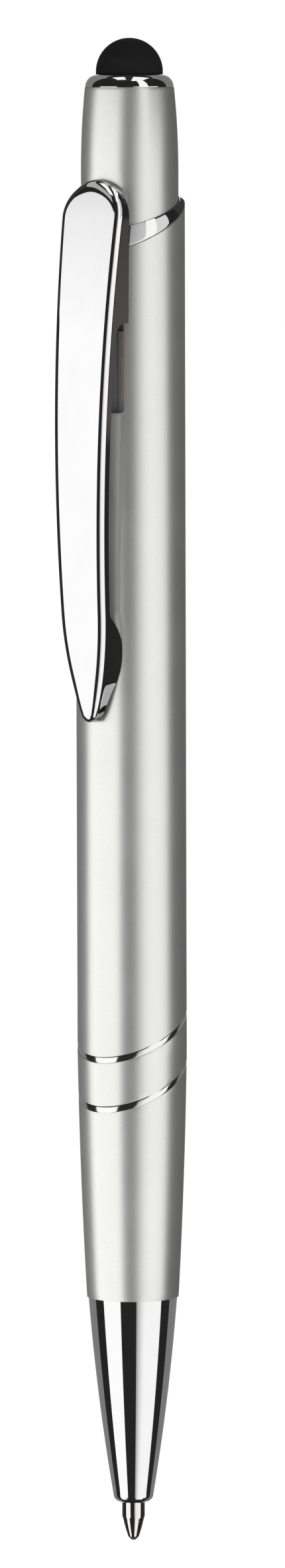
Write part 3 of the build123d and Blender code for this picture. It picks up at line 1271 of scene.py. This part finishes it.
@dataclass
class MouthRing(SubAssembly):
    """The bright ring on the barrel's mouth, narrower at the back and open for the clip."""

    body: Body = Body.BARREL
    outer: float = BARREL_RADIUS
    bore: float = BARREL_BORE
    low_z: float = MOUTH_Z
    low_tilt: float = MOUTH_TILT
    high_z: float = 125.37
    high_tilt: float = 19.9
    end_gap: float = -0.7
    foot_inset: float = 0.15
    foot_share: float = 0.13
    crown_inset: float = 0.43
    crown_bulge: float = 0.05
    lip_inset: float = 0.06
    rounding: int = 8

    def section(self) -> list[Point]:
        """The ring's section: a small rounded foot, then a long facet that leans in.

        Returns:
            Points (radius, share of the way up).
        """
        points = []
        for turn in quarter_turns(self.rounding):
            inset = self.foot_inset * (1 - math.sin(turn))
            points.append((self.outer - inset, self.foot_share * (1 - math.cos(turn))))
        for index in range(1, self.rounding):
            share = index / self.rounding
            bulge = self.crown_bulge * 4 * share * (1 - share)
            up = self.foot_share + (1 - self.foot_share) * share
            points.append((self.outer - self.crown_inset * share + bulge, up))
        return [*points, (self.bore + self.lip_inset, 1.0), (self.bore, 1.0), (self.bore, 0.0)]

    def build(self) -> None:
        """Builds the ring and opens it for the clip."""
        planes = (self.low_z, self.low_tilt, self.high_z, self.high_tilt)
        ring = SlantedRing("polished_mouth_ring", *planes).build(self.section())
        Bench.cut(ring, ClipShape().grown(self.end_gap).prism())
        Bench.settle(ring)
        self.finish(ring, "mouth_ring", Slot.CHROME, Lit.MOUTH)


@dataclass
class PushButton(SubAssembly):
    """Sleeve, collar and stylus dome."""

    body: Body = Body.BUTTON
    foot_z: float = 116.6
    sleeve_radius: float = 4.56
    sleeve_bore: float = 4.0
    sleeve_edge: float = 0.07
    draw_z: float = 129.0
    draw_facets: int = 24
    sleeve_top_radius: float = 4.17
    socket_radius: float = 3.55
    socket_z: float = 131.0
    notch: float = -0.86
    collar_z: float = 136.8
    collar_step: float = 0.02
    collar_facets: int = 18
    collar_lip_radius: float = 3.3
    collar_spigot_radius: float = 3.52
    collar_spigot_z: float = 134.6
    collar_edge: float = 0.04
    collar_edge_facets: int = 2
    collar_edge_angle: float = 50.0
    stem_radius: float = 1.83
    well_radius: float = 3.16
    floor_z: float = 137.0
    dome_z: float = 138.0
    dome_radius: float = 3.13
    dome_wall: float = 0.8
    dome_facets: int = 28
    dome_smooth_angle: float = 50.0
    top_z: float = 141.4
    steps: int = 160

    def build(self) -> None:
        """Builds the three pieces upwards."""
        self.build_sleeve()
        self.build_collar()
        self.build_dome()

    def build_sleeve(self) -> None:
        """The satin sleeve, which draws in to the collar and has a notch for the clip's foot."""
        bend = (self.sleeve_radius, self.draw_z)
        outline = [
            (self.sleeve_bore, self.foot_z),
            (self.sleeve_radius, self.foot_z),
            bend,
            *tangent_arc(bend, (self.sleeve_top_radius, self.collar_z), self.draw_facets),
            (self.socket_radius, self.collar_z),
            (self.socket_radius, self.socket_z),
            (self.sleeve_bore, self.socket_z),
        ]
        sleeve = Bench.lathe("satin_pusher_sleeve", outline, self.steps)
        Bench.clear()
        Bench.cut(sleeve, ClipShape().grown(self.notch).prism())
        self.finish_satin(sleeve, "pusher_sleeve", self.sleeve_edge)

    def build_collar(self) -> None:
        """The bright collar, rounded over to the foot of the dome."""
        rim = (self.sleeve_top_radius - self.collar_step, self.collar_z)
        outline = [
            (self.collar_spigot_radius, self.collar_z),
            rim,
            *tangent_arc(rim, (self.collar_lip_radius, self.dome_z), self.collar_facets),
            (self.well_radius, self.dome_z),
            (self.well_radius, self.floor_z),
            (self.stem_radius, self.floor_z),
            (self.stem_radius, self.collar_spigot_z),
            (self.collar_spigot_radius, self.collar_spigot_z),
        ]
        collar = Bench.lathe("polished_collar", outline, self.steps)
        Bench.round_edges(
            collar, self.collar_edge, self.collar_edge_facets, self.collar_edge_angle
        )
        Bench.smooth(collar)
        self.finish(collar, "stylus_collar", Slot.CHROME)

    def build_dome(self) -> None:
        """The soft hollow dome."""
        centre_z = self.top_z - self.dome_radius
        inner = self.dome_radius - self.dome_wall
        outside, inside = (
            [
                (radius * math.cos(turn), centre_z + radius * math.sin(turn))
                for turn in quarter_turns(self.dome_facets)
            ]
            for radius in (self.dome_radius, inner)
        )
        outline = [(self.dome_radius, self.floor_z), *outside[:-1], (0.0, self.top_z)]
        outline += [(0.0, centre_z + inner), *inside[-2::-1], (inner, self.floor_z)]
        dome = Bench.lathe("soft_dome", outline, self.steps)
        Bench.smooth(dome, self.dome_smooth_angle)
        self.finish(dome, "stylus_tip", Slot.RUBBER)


@dataclass(frozen=True)
class ClipShape:
    """The clip's front outline and its arch."""

    top_z: float = 128.28
    tip_z: float = 77.8
    top_half: float = 3.46
    shoulder_half: float = 2.55
    shoulder_z: float = 88.1
    tip_half: float = 0.62
    tip_round: float = 0.6
    crest_z: float = 100.0
    crest: float = 8.34
    top_fall: float = 2.6
    tip_fall: float = 1.5
    narrowest: float = 0.05
    top_angles: range = range(88, 0, -4)
    tip_angles: range = range(0, 91, 10)
    row: float = 0.5
    row_gap: float = 0.08
    tip_row: float = 0.15
    tip_rows_z: float = 88.3

    @property
    def centre_z(self) -> float:
        """Height of the middle of the round top."""
        return self.top_z - self.top_half

    @property
    def lean(self) -> float:
        """Angle between the straight sides and the middle line, in radians.

        Returns:
            The angle.
        """
        drop = self.centre_z - self.shoulder_z
        slant = math.atan2(drop, self.shoulder_half)
        return slant - math.acos(self.top_half / math.hypot(drop, self.shoulder_half))

    def grown(self, growth: float) -> "ClipShape":
        """The same shape with its outline moved outwards.

        Args:
            growth: how far; inwards if it is negative.

        Returns:
            The new shape.
        """
        return replace(
            self,
            top_z=self.top_z + growth,
            top_half=self.top_half + growth,
            shoulder_half=self.shoulder_half + growth,
            tip_half=self.tip_half + growth,
            tip_z=self.tip_z - growth,
        )

    def half_width(self, z: float) -> float:
        """Half the clip's width at a height.

        Args:
            z: the height.

        Returns:
            The half width.
        """
        if z >= self.centre_z - self.top_half * math.sin(self.lean):
            return math.sqrt(max(0.0, self.top_half**2 - (z - self.centre_z) ** 2))
        if z >= self.shoulder_z:
            return self.shoulder_half + (z - self.shoulder_z) * math.tan(self.lean)
        run = Vector((self.tip_half - self.shoulder_half, self.tip_z - self.shoulder_z))
        inwards = Vector((-math.cos(self.lean), math.sin(self.lean)))
        radius = run.length_squared / (2 * run.dot(inwards))
        middle = Vector((self.shoulder_half, self.shoulder_z)) + inwards * radius
        half = middle.x + math.sqrt(radius**2 - (z - middle.y) ** 2)
        dip = (self.tip_z + self.tip_round - z) / self.tip_round
        if dip > 0:
            half -= self.tip_round * (1 - math.sqrt(max(0.0, 1 - dip**2)))
        return half

    def reach(self, z: float) -> float:
        """How far the clip's face stands from the pen's axis.

        Args:
            z: the height.

        Returns:
            The distance.
        """
        upper = z > self.crest_z
        run = self.top_z - self.crest_z if upper else self.crest_z - self.tip_z
        fall = self.top_fall if upper else self.tip_fall
        radius = (run**2 + fall**2) / (2 * fall)
        return self.crest - radius + math.sqrt(radius**2 - (z - self.crest_z) ** 2)

    def rows(self, extra: Sequence[float] = ()) -> list[float]:
        """Heights of the rows that the clip is modelled in, downwards from its top.

        Args:
            extra: further heights that need a row.

        Returns:
            The heights.
        """
        heights = [
            self.centre_z + self.top_half * math.sin(math.radians(angle))
            for angle in self.top_angles
        ]
        level = self.centre_z
        while level > self.tip_z + self.tip_round + self.tip_row:
            heights.append(level)
            level -= self.row if level > self.tip_rows_z else self.tip_row
        heights += [
            self.tip_z + self.tip_round * (1 - math.sin(math.radians(angle)))
            for angle in self.tip_angles
        ]
        apart = [z for z in heights if all(abs(z - other) > self.row_gap for other in extra)]
        return sorted([*apart, *extra], reverse=True)

    def sheet(self, name: str, rows: Sequence[float]) -> bpy.types.Object:
        """The clip's front as a sheet, extruded row by row, open in edit mode.

        Args:
            name: the piece's name.
            rows: heights, downwards.

        Returns:
            The piece.
        """
        halves = [max(self.narrowest, self.half_width(z)) for z in rows]
        places = [Vector((0, -self.reach(z) * MM, z * MM)) for z in rows]
        sheet = Bench.point(name, places[0] - Vector((halves[0] * MM, 0, 0)))
        Bench.extrude((2 * halves[0] * MM, 0, 0))
        Bench.select_whole()
        for row in range(1, len(rows)):
            Bench.extrude(places[row] - places[row - 1])
            wider = (halves[row] / halves[row - 1], 1, 1)
            bpy.ops.transform.resize(value=wider, center_override=ORIGIN)
        return sheet

    def prism(self) -> bpy.types.Object:
        """The clip's front, carried to the pen's axis, as a cutter.

        Returns:
            The cutter.
        """
        cutter = self.sheet("clip_cutter", self.rows())
        Bench.select_whole()
        Bench.extrude((0, self.crest * MM, 0))
        Bench.close_up()
        Bench.clear()
        return cutter


@dataclass
class SpringClip(SubAssembly):
    """The arched clip: a bright channel with deep cheeks at the top and ears near its tip.

    Its rounding widens round the top and narrows at the tip, which no bevel gives evenly, so its
    sections are laid out point by point in bmesh.
    """

    body: Body = Body.CLIP
    shape: ClipShape = ClipShape()
    flange_depth: float = 1.32
    flange: float = 0.55
    face: float = 0.6
    side_round: float = 0.78
    top_round: float = 1.35
    tip_round: float = 0.55
    tip_round_z: float = 82.0
    round_steps: int = 10
    cheek_steps: int = 4
    lower_edge: float = 0.05
    slope_step: float = 1e-4
    row_step: float = 0.01
    block_z: float = 115.0
    block_fillet: float = 1.3
    block_fillet_height: float = 1.3
    block_fillet_rows: int = 12
    block_corner: float = 0.12
    block_corner_rows: int = 4
    block_foot: float = 4.42
    block_rise: float = 0.02
    seat_radius: float = 5.27
    sleeve_gap_radius: float = 4.86
    mouth_z: float = MOUTH_Z
    mouth_step: float = 2.0
    channel_low_z: float = 80.0
    channel_high_z: float = 126.9
    smooth_angle: float = 32.0
    ears: tuple[Triple, ...] = (
        (88.0, 6.70, 2.55),
        (87.6, 6.33, 2.54),
        (87.05, 5.75, 2.53),
        (86.3, 5.17, 2.52),
        (85.55, 4.79, 2.52),
        (84.85, 4.66, 2.52),
        (83.94, 4.64, 2.50),
        (82.9, 4.71, 2.40),
        (81.94, 4.80, 2.16),
        (80.7, 5.37, 1.86),
        (78.94, 5.66, 1.21),
        (77.8, 5.49, 0.50),
    )

    def ear(self, z: float, column: int) -> float:
        """Reads a column of the ears' rows at a height, smoothly.

        Args:
            z: the height.
            column: 1 for the distance from the axis, 2 for the half width.

        Returns:
            The value.
        """
        last = len(self.ears) - 1
        index = next((i for i in range(1, last + 1) if z >= self.ears[i][0]), last)
        rows = [self.ears[max(0, min(last, index + shift))] for shift in (-2, -1, 0, 1)]
        before, first, second, after = rows
        span = second[0] - first[0]
        share = (z - first[0]) / span
        leave = (second[column] - before[column]) / (second[0] - before[0]) * span
        arrive = (after[column] - first[column]) / (after[0] - first[0]) * span
        cube, square = share**3, share**2
        start = first[column] * (2 * cube - 3 * square + 1)
        start += leave * (cube - 2 * square + share)
        return start + second[column] * (3 * square - 2 * cube) + arrive * (cube - square)

    def seat(self, z: float, half: float) -> float:
        """How far the pen's surface, with its gap, stands out towards the clip.

        Args:
            z: the height.
            half: the half width there.

        Returns:
            The distance from the axis.
        """
        share = held((z - self.mouth_z) / self.mouth_step)
        radius = self.seat_radius + (self.sleeve_gap_radius - self.seat_radius) * share
        return math.sqrt(radius**2 - half**2)

    def under(self, z: float, half: float) -> float:
        """How far the lower edge of the clip's cheeks stands from the pen's axis.

        Args:
            z: the height.
            half: the half width there.

        Returns:
            The distance.
        """
        plain = self.shape.reach(z) - self.flange_depth
        if z <= self.ears[0][0]:
            return min(plain, max(self.ear(z, 1), self.seat(z, half)))
        above = z - self.block_z
        if above >= 0:
            dip = max(0.0, 1 - above / self.block_corner)
            level = max(self.seat(z, half), self.block_foot + self.block_rise * above)
            return level + self.block_corner * (1 - math.sqrt(1 - dip**2))
        rise = max(0.0, 1 + above / self.block_fillet_height)
        return plain - self.block_fillet * (1 - math.sqrt(1 - rise**2))

    def rounding(self, z: float) -> float:
        """How wide the front edge is rounded: most at the top, least at the tip.

        Args:
            z: the height.

        Returns:
            The width.
        """
        shape = self.shape
        turn = math.asin(held((z - shape.centre_z) / shape.top_half)) / (math.pi / 2)
        down = held((self.tip_round_z - z) / (self.tip_round_z - shape.tip_z))
        wider = (self.top_round - self.side_round) * eased(turn)
        return self.side_round + wider + (self.tip_round - self.side_round) * eased(down)

    def outline(self) -> list[tuple[Vector, Vector]]:
        """The right half of the front outline, from the top to the tip.

        Returns:
            Points (x, z), each with the direction inwards.
        """
        step = self.row_step
        extra = [self.channel_high_z + step, self.channel_high_z]
        extra += [self.channel_low_z, self.channel_low_z - step, self.block_z - step]
        for index in range(self.block_fillet_rows):
            down = 1 - index / self.block_fillet_rows
            extra.append(self.block_z - self.block_fillet_height * down)
        for index in range(self.block_corner_rows + 1):
            extra.append(self.block_z + self.block_corner * index / self.block_corner_rows)
        half = self.shape.half_width
        outline = [(Vector((0.0, self.shape.top_z)), Vector((0.0, -1.0)))]
        for z in self.shape.rows(extra):
            rise = half(z + self.slope_step) - half(z - self.slope_step)
            inwards = Vector((-1.0, rise / (2 * self.slope_step))).normalized()
            outline.append((Vector((half(z), z)), inwards))
        outline[-1] = (outline[-1][0], Vector((0.0, 1.0)))
        return [*outline, (Vector((0.0, self.shape.tip_z)), Vector((0.0, 1.0)))]

    def lean(self, z: float, half: float) -> float:
        """How far the foot of a cheek stands outside the outline, which it does at the ears only.

        Args:
            z: the height.
            half: the half width there.

        Returns:
            The distance, which goes to nothing in the middle of the tip.
        """
        if z >= self.ears[0][0]:
            return 0.0
        return max(0.0, self.ear(z, 2) - half) * min(1.0, half / self.ears[-1][2])

    def section(self, point: Vector, inwards: Vector) -> list[Vector]:
        """Half a section of the clip, from the middle of its channel round its cheek to its face.

        Args:
            point: place on the outline.
            inwards: direction across the outline.

        Returns:
            Points (x, distance from the axis, z).
        """
        half, z = point
        inner = point + inwards * self.flange
        lean = self.lean(z, half)
        foot, inner_foot = self.under(z, half + lean), self.under(inner.y, inner.x)
        open_here = self.channel_low_z <= z <= self.channel_high_z
        if not open_here:
            inner_foot = max(inner_foot, self.seat(inner.y, 0.0))
        roof = self.shape.reach(inner.y) - self.face if open_here else inner_foot
        width = self.rounding(z)
        depth = min(width, self.shape.reach(z) - foot - 2 * self.lower_edge)
        rim = self.shape.reach(z) - depth
        points = [Vector((inner.x, away, inner.y)) for away in (roof, inner_foot)]
        chamfer = point + inwards * self.lower_edge
        points.append(Vector((chamfer.x + lean, foot, chamfer.y)))
        for step in range(self.cheek_steps + 1):
            share = step / (self.cheek_steps + 1)
            level = foot + self.lower_edge + (rim - foot - self.lower_edge) * share
            points.append(Vector((half + lean * (1 - share), level, z)))
        for turn in quarter_turns(self.round_steps):
            place = point + inwards * width * (1 - math.cos(turn))
            away = self.shape.reach(place.y) - depth * (1 - math.sin(turn))
            points.append(Vector((place.x, away, place.y)))
        return points

    def build(self) -> None:
        """Lays out the sections, joins them into a closed skin and dresses it."""
        mesh = bmesh.new()
        rows = []
        for point, inwards in self.outline():
            section = self.section(point, inwards)
            right = [Vector((x, -away, z)) * MM for x, away, z in section]
            left = [Vector((-place.x, place.y, place.z)) for place in reversed(right)]
            rows.append([mesh.verts.new(place) for place in right + left])
        for upper, lower in zip(rows, rows[1:]):
            for index in range(len(upper)):
                after = (index + 1) % len(upper)
                mesh.faces.new((upper[index], upper[after], lower[after], lower[index]))
        data = bpy.data.meshes.new("spring_clip")
        mesh.to_mesh(data)
        mesh.free()
        clip = bpy.data.objects.new("spring_clip", data)
        bpy.context.scene.collection.objects.link(clip)
        Bench.edit(clip)
        Bench.close_up()
        Bench.smooth(clip, self.smooth_angle)
        self.finish(clip, "clip", Slot.CHROME, Lit.CLIP, CLIP_CHROME)


@dataclass
class InnerWorks:
    """The CAD nodes that stay: each gets the finish of its slot."""

    def dress(self) -> None:
        """Gives every shown CAD node its finish."""
        parts = frame["record"]["subparts"]
        slots = {part["node"]: Slot(part["material_slot"]) for part in parts}
        for name, node in frame["nodes"].items():
            if node.hide_render:
                continue
            node.data.materials.clear()
            node.data.materials.append(FINISHES[slots[name]].material())
            LOG.info("%s keeps its CAD shape, in %s", name, slots[name].value)


# Studio and camera: metres, with angles counted from the camera to its right

DARK_CARD: Color = (0.0225, 0.021, 0.0215, 1.0)
BACK_CARD: Color = (0.045, 0.043, 0.042, 1.0)
HIGH_CARD: Color = (0.03, 0.03, 0.03, 1.0)
HIGH_BOX: Color = (1.2, 1.2, 1.2, 1.0)
WARM: Color = (1.0, 0.93, 0.86, 1.0)


def grey(share: float) -> Color:
    """A grey of a brightness."""
    return (share, share, share, 1.0)


def hang(card: bpy.types.Object, material: bpy.types.Material, fills: bool) -> None:
    """Makes a card or soft box part of the studio, seen by the pen alone.

    Args:
        card: the object.
        material: its glow.
        fills: whether it lights matte surfaces too.
    """
    card.data.materials.append(material)
    card.visible_camera = False
    card.visible_shadow = False
    card.visible_transmission = False
    card.visible_diffuse = fills


@dataclass(frozen=True)
class Panel:
    """A curved card or soft box that stands round the pen."""

    name: str
    start: float
    end: float
    low: float
    high: float
    distance: float
    brightness: float = 1.0
    color: Color = WHITE
    edge: float = 1.0
    soft_start: float = 0.0
    soft_top: float = 0.0
    top_share: float = 0.0
    fills: bool = True
    lights: Lit | None = None
    fewest_facets: int = 8

    def build(self, camera_azimuth: float) -> None:
        """Spins an upright edge round the pen and gives it a plain glow.

        Args:
            camera_azimuth: where the camera stands, in degrees.
        """
        first = math.radians(camera_azimuth + self.start)
        sweep = math.radians(self.end - self.start)
        foot = (self.distance * math.sin(first), -self.distance * math.cos(first), self.low)
        panel = Bench.point(self.name, foot)
        Bench.extrude((0, 0, self.high - self.low))
        Bench.spin(-sweep, max(self.fewest_facets, round(abs(self.end - self.start))))
        Bench.clear()
        hang(panel, self.glow(first), self.fills)
        if self.lights:
            panel.light_linking.receiver_collection = self.lights.pieces()

    def glow(self, first: float) -> bpy.types.Material:
        """The panel's light, which may start dimmer at its first side and fade out at its top.

        A panel for one group of pieces is clear to all others.

        Args:
            first: azimuth of its first side, in radians.

        Returns:
            The material.
        """
        material, graph = new_material(self.name)
        color: Value | Color = self.color
        if self.soft_start:
            sides = {0: graph.along("X"), 1: 0.0 - graph.along("Y")}
            azimuth = graph.node("ShaderNodeMath", {"operation": "ARCTAN2"}, sides)
            rest = (1.0 - (azimuth - first) / math.radians(self.soft_start)).clamped()
            color = graph.blend(1.0 - rest * rest, grey(self.edge), color)
        if self.soft_top:
            below = ((self.high - graph.along("Z")) / self.soft_top).clamped()
            color = graph.blend(below, grey(self.top_share), color)
        light = graph.glow(color, self.brightness)
        if self.lights:
            clear = graph.node("ShaderNodeBsdfTransparent")
            light = graph.node("ShaderNodeAddShader", None, {0: light, 1: clear})
        graph.surface(light)
        return material


@dataclass(frozen=True)
class Card:
    """A level card above or below the pen, placed to the camera's right and away from it."""

    name: str
    left: float
    right: float
    near: float
    far: float
    height: float
    color: Color

    def build(self, camera_azimuth: float) -> None:
        """Extrudes a corner sideways and then away from the camera.

        Args:
            camera_azimuth: where the camera stands, in degrees.
        """
        turn = math.radians(camera_azimuth)
        aside = Vector((math.cos(turn), math.sin(turn), 0))
        away = Vector((-math.sin(turn), math.cos(turn), 0))
        corner = aside * self.left + away * self.near + Vector((0, 0, self.height))
        card = Bench.point(self.name, corner)
        Bench.extrude(aside * (self.right - self.left))
        Bench.select_whole()
        Bench.extrude(away * (self.far - self.near))
        Bench.clear()
        material, graph = new_material(self.name)
        graph.surface(graph.glow(self.color))
        hang(card, material, fills=False)


@dataclass(frozen=True)
class Studio:
    """Pale floor, white surroundings, soft boxes on both sides and the dark cards between them."""

    camera_azimuth: float = CAMERA_AZIMUTH
    floor_z: float = -1.0
    floor_size: float = 60.0
    floor_glow: float = 0.82
    floor_grey: float = 0.6
    fill: float = 0.4
    panels: tuple[Panel, ...] = (
        Panel("left_box", -83, -33, -0.42, 0.2, 0.75, 1.3),
        Panel("left_foot", -83, -47, -0.95, -0.42, 0.75, 1.3),
        Panel("right_box", 9.4, 80, -0.42, 0.2, 0.75, 1.22, edge=0.32, soft_start=30),
        Panel("right_foot", 14, 65, -0.95, -0.42, 0.75, 1.22, edge=0.32, soft_start=15),
        Panel("right_tower", 26, 50, 0.2, 1.28, 0.75, 1.22),
        Panel(
            "left_veil", -104, -25, -0.95, 0.2, 0.77, 1.8,
            edge=0.7, soft_start=50, lights=Lit.SATIN,
        ),
        Panel("left_high_veil", -94, -15, 0.2, 0.44, 0.77, 1.65, soft_top=0.24, lights=Lit.SATIN),
        Panel("right_veil", 22, 100, 0.2, 0.28, 0.77, 1.0, soft_top=0.08, lights=Lit.SATIN),
        Panel("right_glow", 16, 80, -0.95, 0.2, 0.74, 0.06, lights=Lit.SATIN),
        Panel("right_flank", 80, 86, -0.95, 0.2, 0.77, 0.5, lights=Lit.SATIN),
        Panel(
            "clip_veil", -90, -33, 0.2, 0.45, 0.76, 1.28,
            soft_top=0.25, top_share=0.7, lights=Lit.CLIP,
        ),
        Panel("clip_crown", -140, -40, 0.74, 1.28, 0.76, 0.5, lights=Lit.CLIP),
        Panel("clip_side", 12, 78, 0.2, 1.28, 0.76, 0.7, edge=0.3, soft_start=20, lights=Lit.CLIP),
        Panel(
            "cheek_glow", 92, 122, 0.05, 0.12, 0.75, 0.075, WARM,
            soft_top=0.05, top_share=0.1, lights=Lit.CLIP,
        ),
        Panel(
            "mouth_veil", -14, 80, -0.3, 0.9, 0.76, 0.85,
            edge=0.3, soft_start=70, lights=Lit.MOUTH,
        ),
        Panel("front_card", -114, 112, -0.97, 1.3, 0.8, 1.0, DARK_CARD, fills=False),
        Panel("right_back_card", 112, 168, -0.97, 1.3, 0.8, 1.0, BACK_CARD, fills=False),
        Panel("right_back_satin", 112, 168, -0.97, 1.3, 0.79, 0.055, lights=Lit.SATIN),
        Panel("right_back_chrome", 112, 168, -0.97, 1.3, 0.79, 0.195, lights=Lit.CHROME),
        Panel("back_box", 168, 192, -0.97, 1.3, 0.8, 0.9),
        Panel("left_back_card", 192, 246, -0.97, 1.3, 0.8, 1.0, BACK_CARD, fills=False),
        Panel("left_back_satin", 192, 246, -0.97, 1.3, 0.79, 0.17, lights=Lit.SATIN),
        Panel("left_back_chrome", 192, 246, -0.97, 1.3, 0.79, 0.205, lights=Lit.CHROME),
    )
    cards: tuple[Card, ...] = (
        Card("low_card", -0.8, 0.8, -0.8, 0.8, -0.98, DARK_CARD),
        Card("high_card", -0.8, 0.8, -0.8, 0.8, 1.3, HIGH_CARD),
        Card("high_left_box", -0.5, -0.13, -0.45, 0.2, 1.29, HIGH_BOX),
        Card("high_right_box", 0.1, 0.62, -0.8, 0.2, 1.29, HIGH_BOX),
    )

    def build(self) -> None:
        """Sets up the world, the floor, the soft boxes and the cards."""
        bpy.context.scene.view_settings.view_transform = "Standard"
        self.build_world()
        self.build_floor()
        for card in (*self.panels, *self.cards):
            card.build(self.camera_azimuth)
        LOG.info("studio with %d panels and %d cards", len(self.panels), len(self.cards))

    def build_world(self) -> None:
        """White where it is seen or reflected, and a plain fill of light elsewhere."""
        world = bpy.data.worlds.new("studio")
        world.use_nodes = True
        bpy.context.scene.world = world
        graph = Graph(world.node_tree)
        rays = ("Is Camera Ray", "Is Glossy Ray", "Is Transmission Ray")
        camera, glossy, through = (graph.node("ShaderNodeLightPath", output=ray) for ray in rays)
        seen = camera.larger(glossy).larger(through)
        inputs = {"Color": WHITE, "Strength": self.fill + (1.0 - self.fill) * seen}
        light = graph.node("ShaderNodeBackground", None, inputs)
        graph.node("ShaderNodeOutputWorld", None, {"Surface": light})

    def build_floor(self) -> None:
        """A pale floor that keeps the pen's shadow and is clear from below."""
        Bench.clear()
        bpy.ops.mesh.primitive_plane_add(size=self.floor_size, location=(0, 0, self.floor_z))
        floor = bpy.context.active_object
        floor.name = "floor"
        material, graph = new_material("pale_floor")
        glow = graph.glow(WHITE, self.floor_glow)
        matte = graph.node("ShaderNodeBsdfDiffuse", None, {"Color": grey(self.floor_grey)})
        both = graph.node("ShaderNodeAddShader", None, {0: glow, 1: matte})
        under = graph.node("ShaderNodeNewGeometry", output="Backfacing")
        clear = graph.node("ShaderNodeBsdfTransparent")
        graph.surface(graph.node("ShaderNodeMixShader", None, {0: under, 1: both, 2: clear}))
        floor.data.materials.append(material)


@dataclass(frozen=True)
class PhotoCamera:
    """The photograph's camera, a long lens level with the top of the pen."""

    azimuth: float = CAMERA_AZIMUTH
    distance: float = 0.83
    height: float = 0.139
    pitch: float = 4.64
    roll: float = -0.16
    aside: float = 0.00104
    lens: float = 203.8
    sensor: float = 36.0
    nearest: float = 0.01
    farthest: float = 100.0

    def build(self) -> None:
        """Makes the camera and hands it to the scene."""
        data = bpy.data.cameras.new("photo_camera")
        data.lens = self.lens
        data.sensor_width = self.sensor
        data.clip_start, data.clip_end = self.nearest, self.farthest
        camera = bpy.data.objects.new("photo_camera", data)
        bpy.context.scene.collection.objects.link(camera)
        turn = math.radians(self.azimuth)
        right = Vector((math.cos(turn), math.sin(turn), 0))
        back = Vector((math.sin(turn), -math.cos(turn), 0))
        up = Vector((0, 0, 1))
        camera.location = back * self.distance + right * self.aside + up * self.height
        tilt = math.radians(self.pitch)
        view = -back * math.cos(tilt) - up * math.sin(tilt)
        roll = Matrix.Rotation(math.radians(self.roll), 3, "Z").to_quaternion()
        camera.rotation_mode = "QUATERNION"
        camera.rotation_quaternion = view.to_track_quat("-Z", "Y") @ roll
        bpy.context.scene.camera = camera


def main() -> None:
    """Builds the pen's sub-assemblies in order, then the studio and the camera."""
    logging.basicConfig(level=logging.INFO, format="%(name)s: %(message)s")
    for group in (WritingEnd(), RefillEnd(), OuterTube(), MouthRing(), PushButton(), SpringClip()):
        group.build()
    InnerWorks().dress()
    Studio().build()
    PhotoCamera().build()


if __name__ == "__main__":
    main()
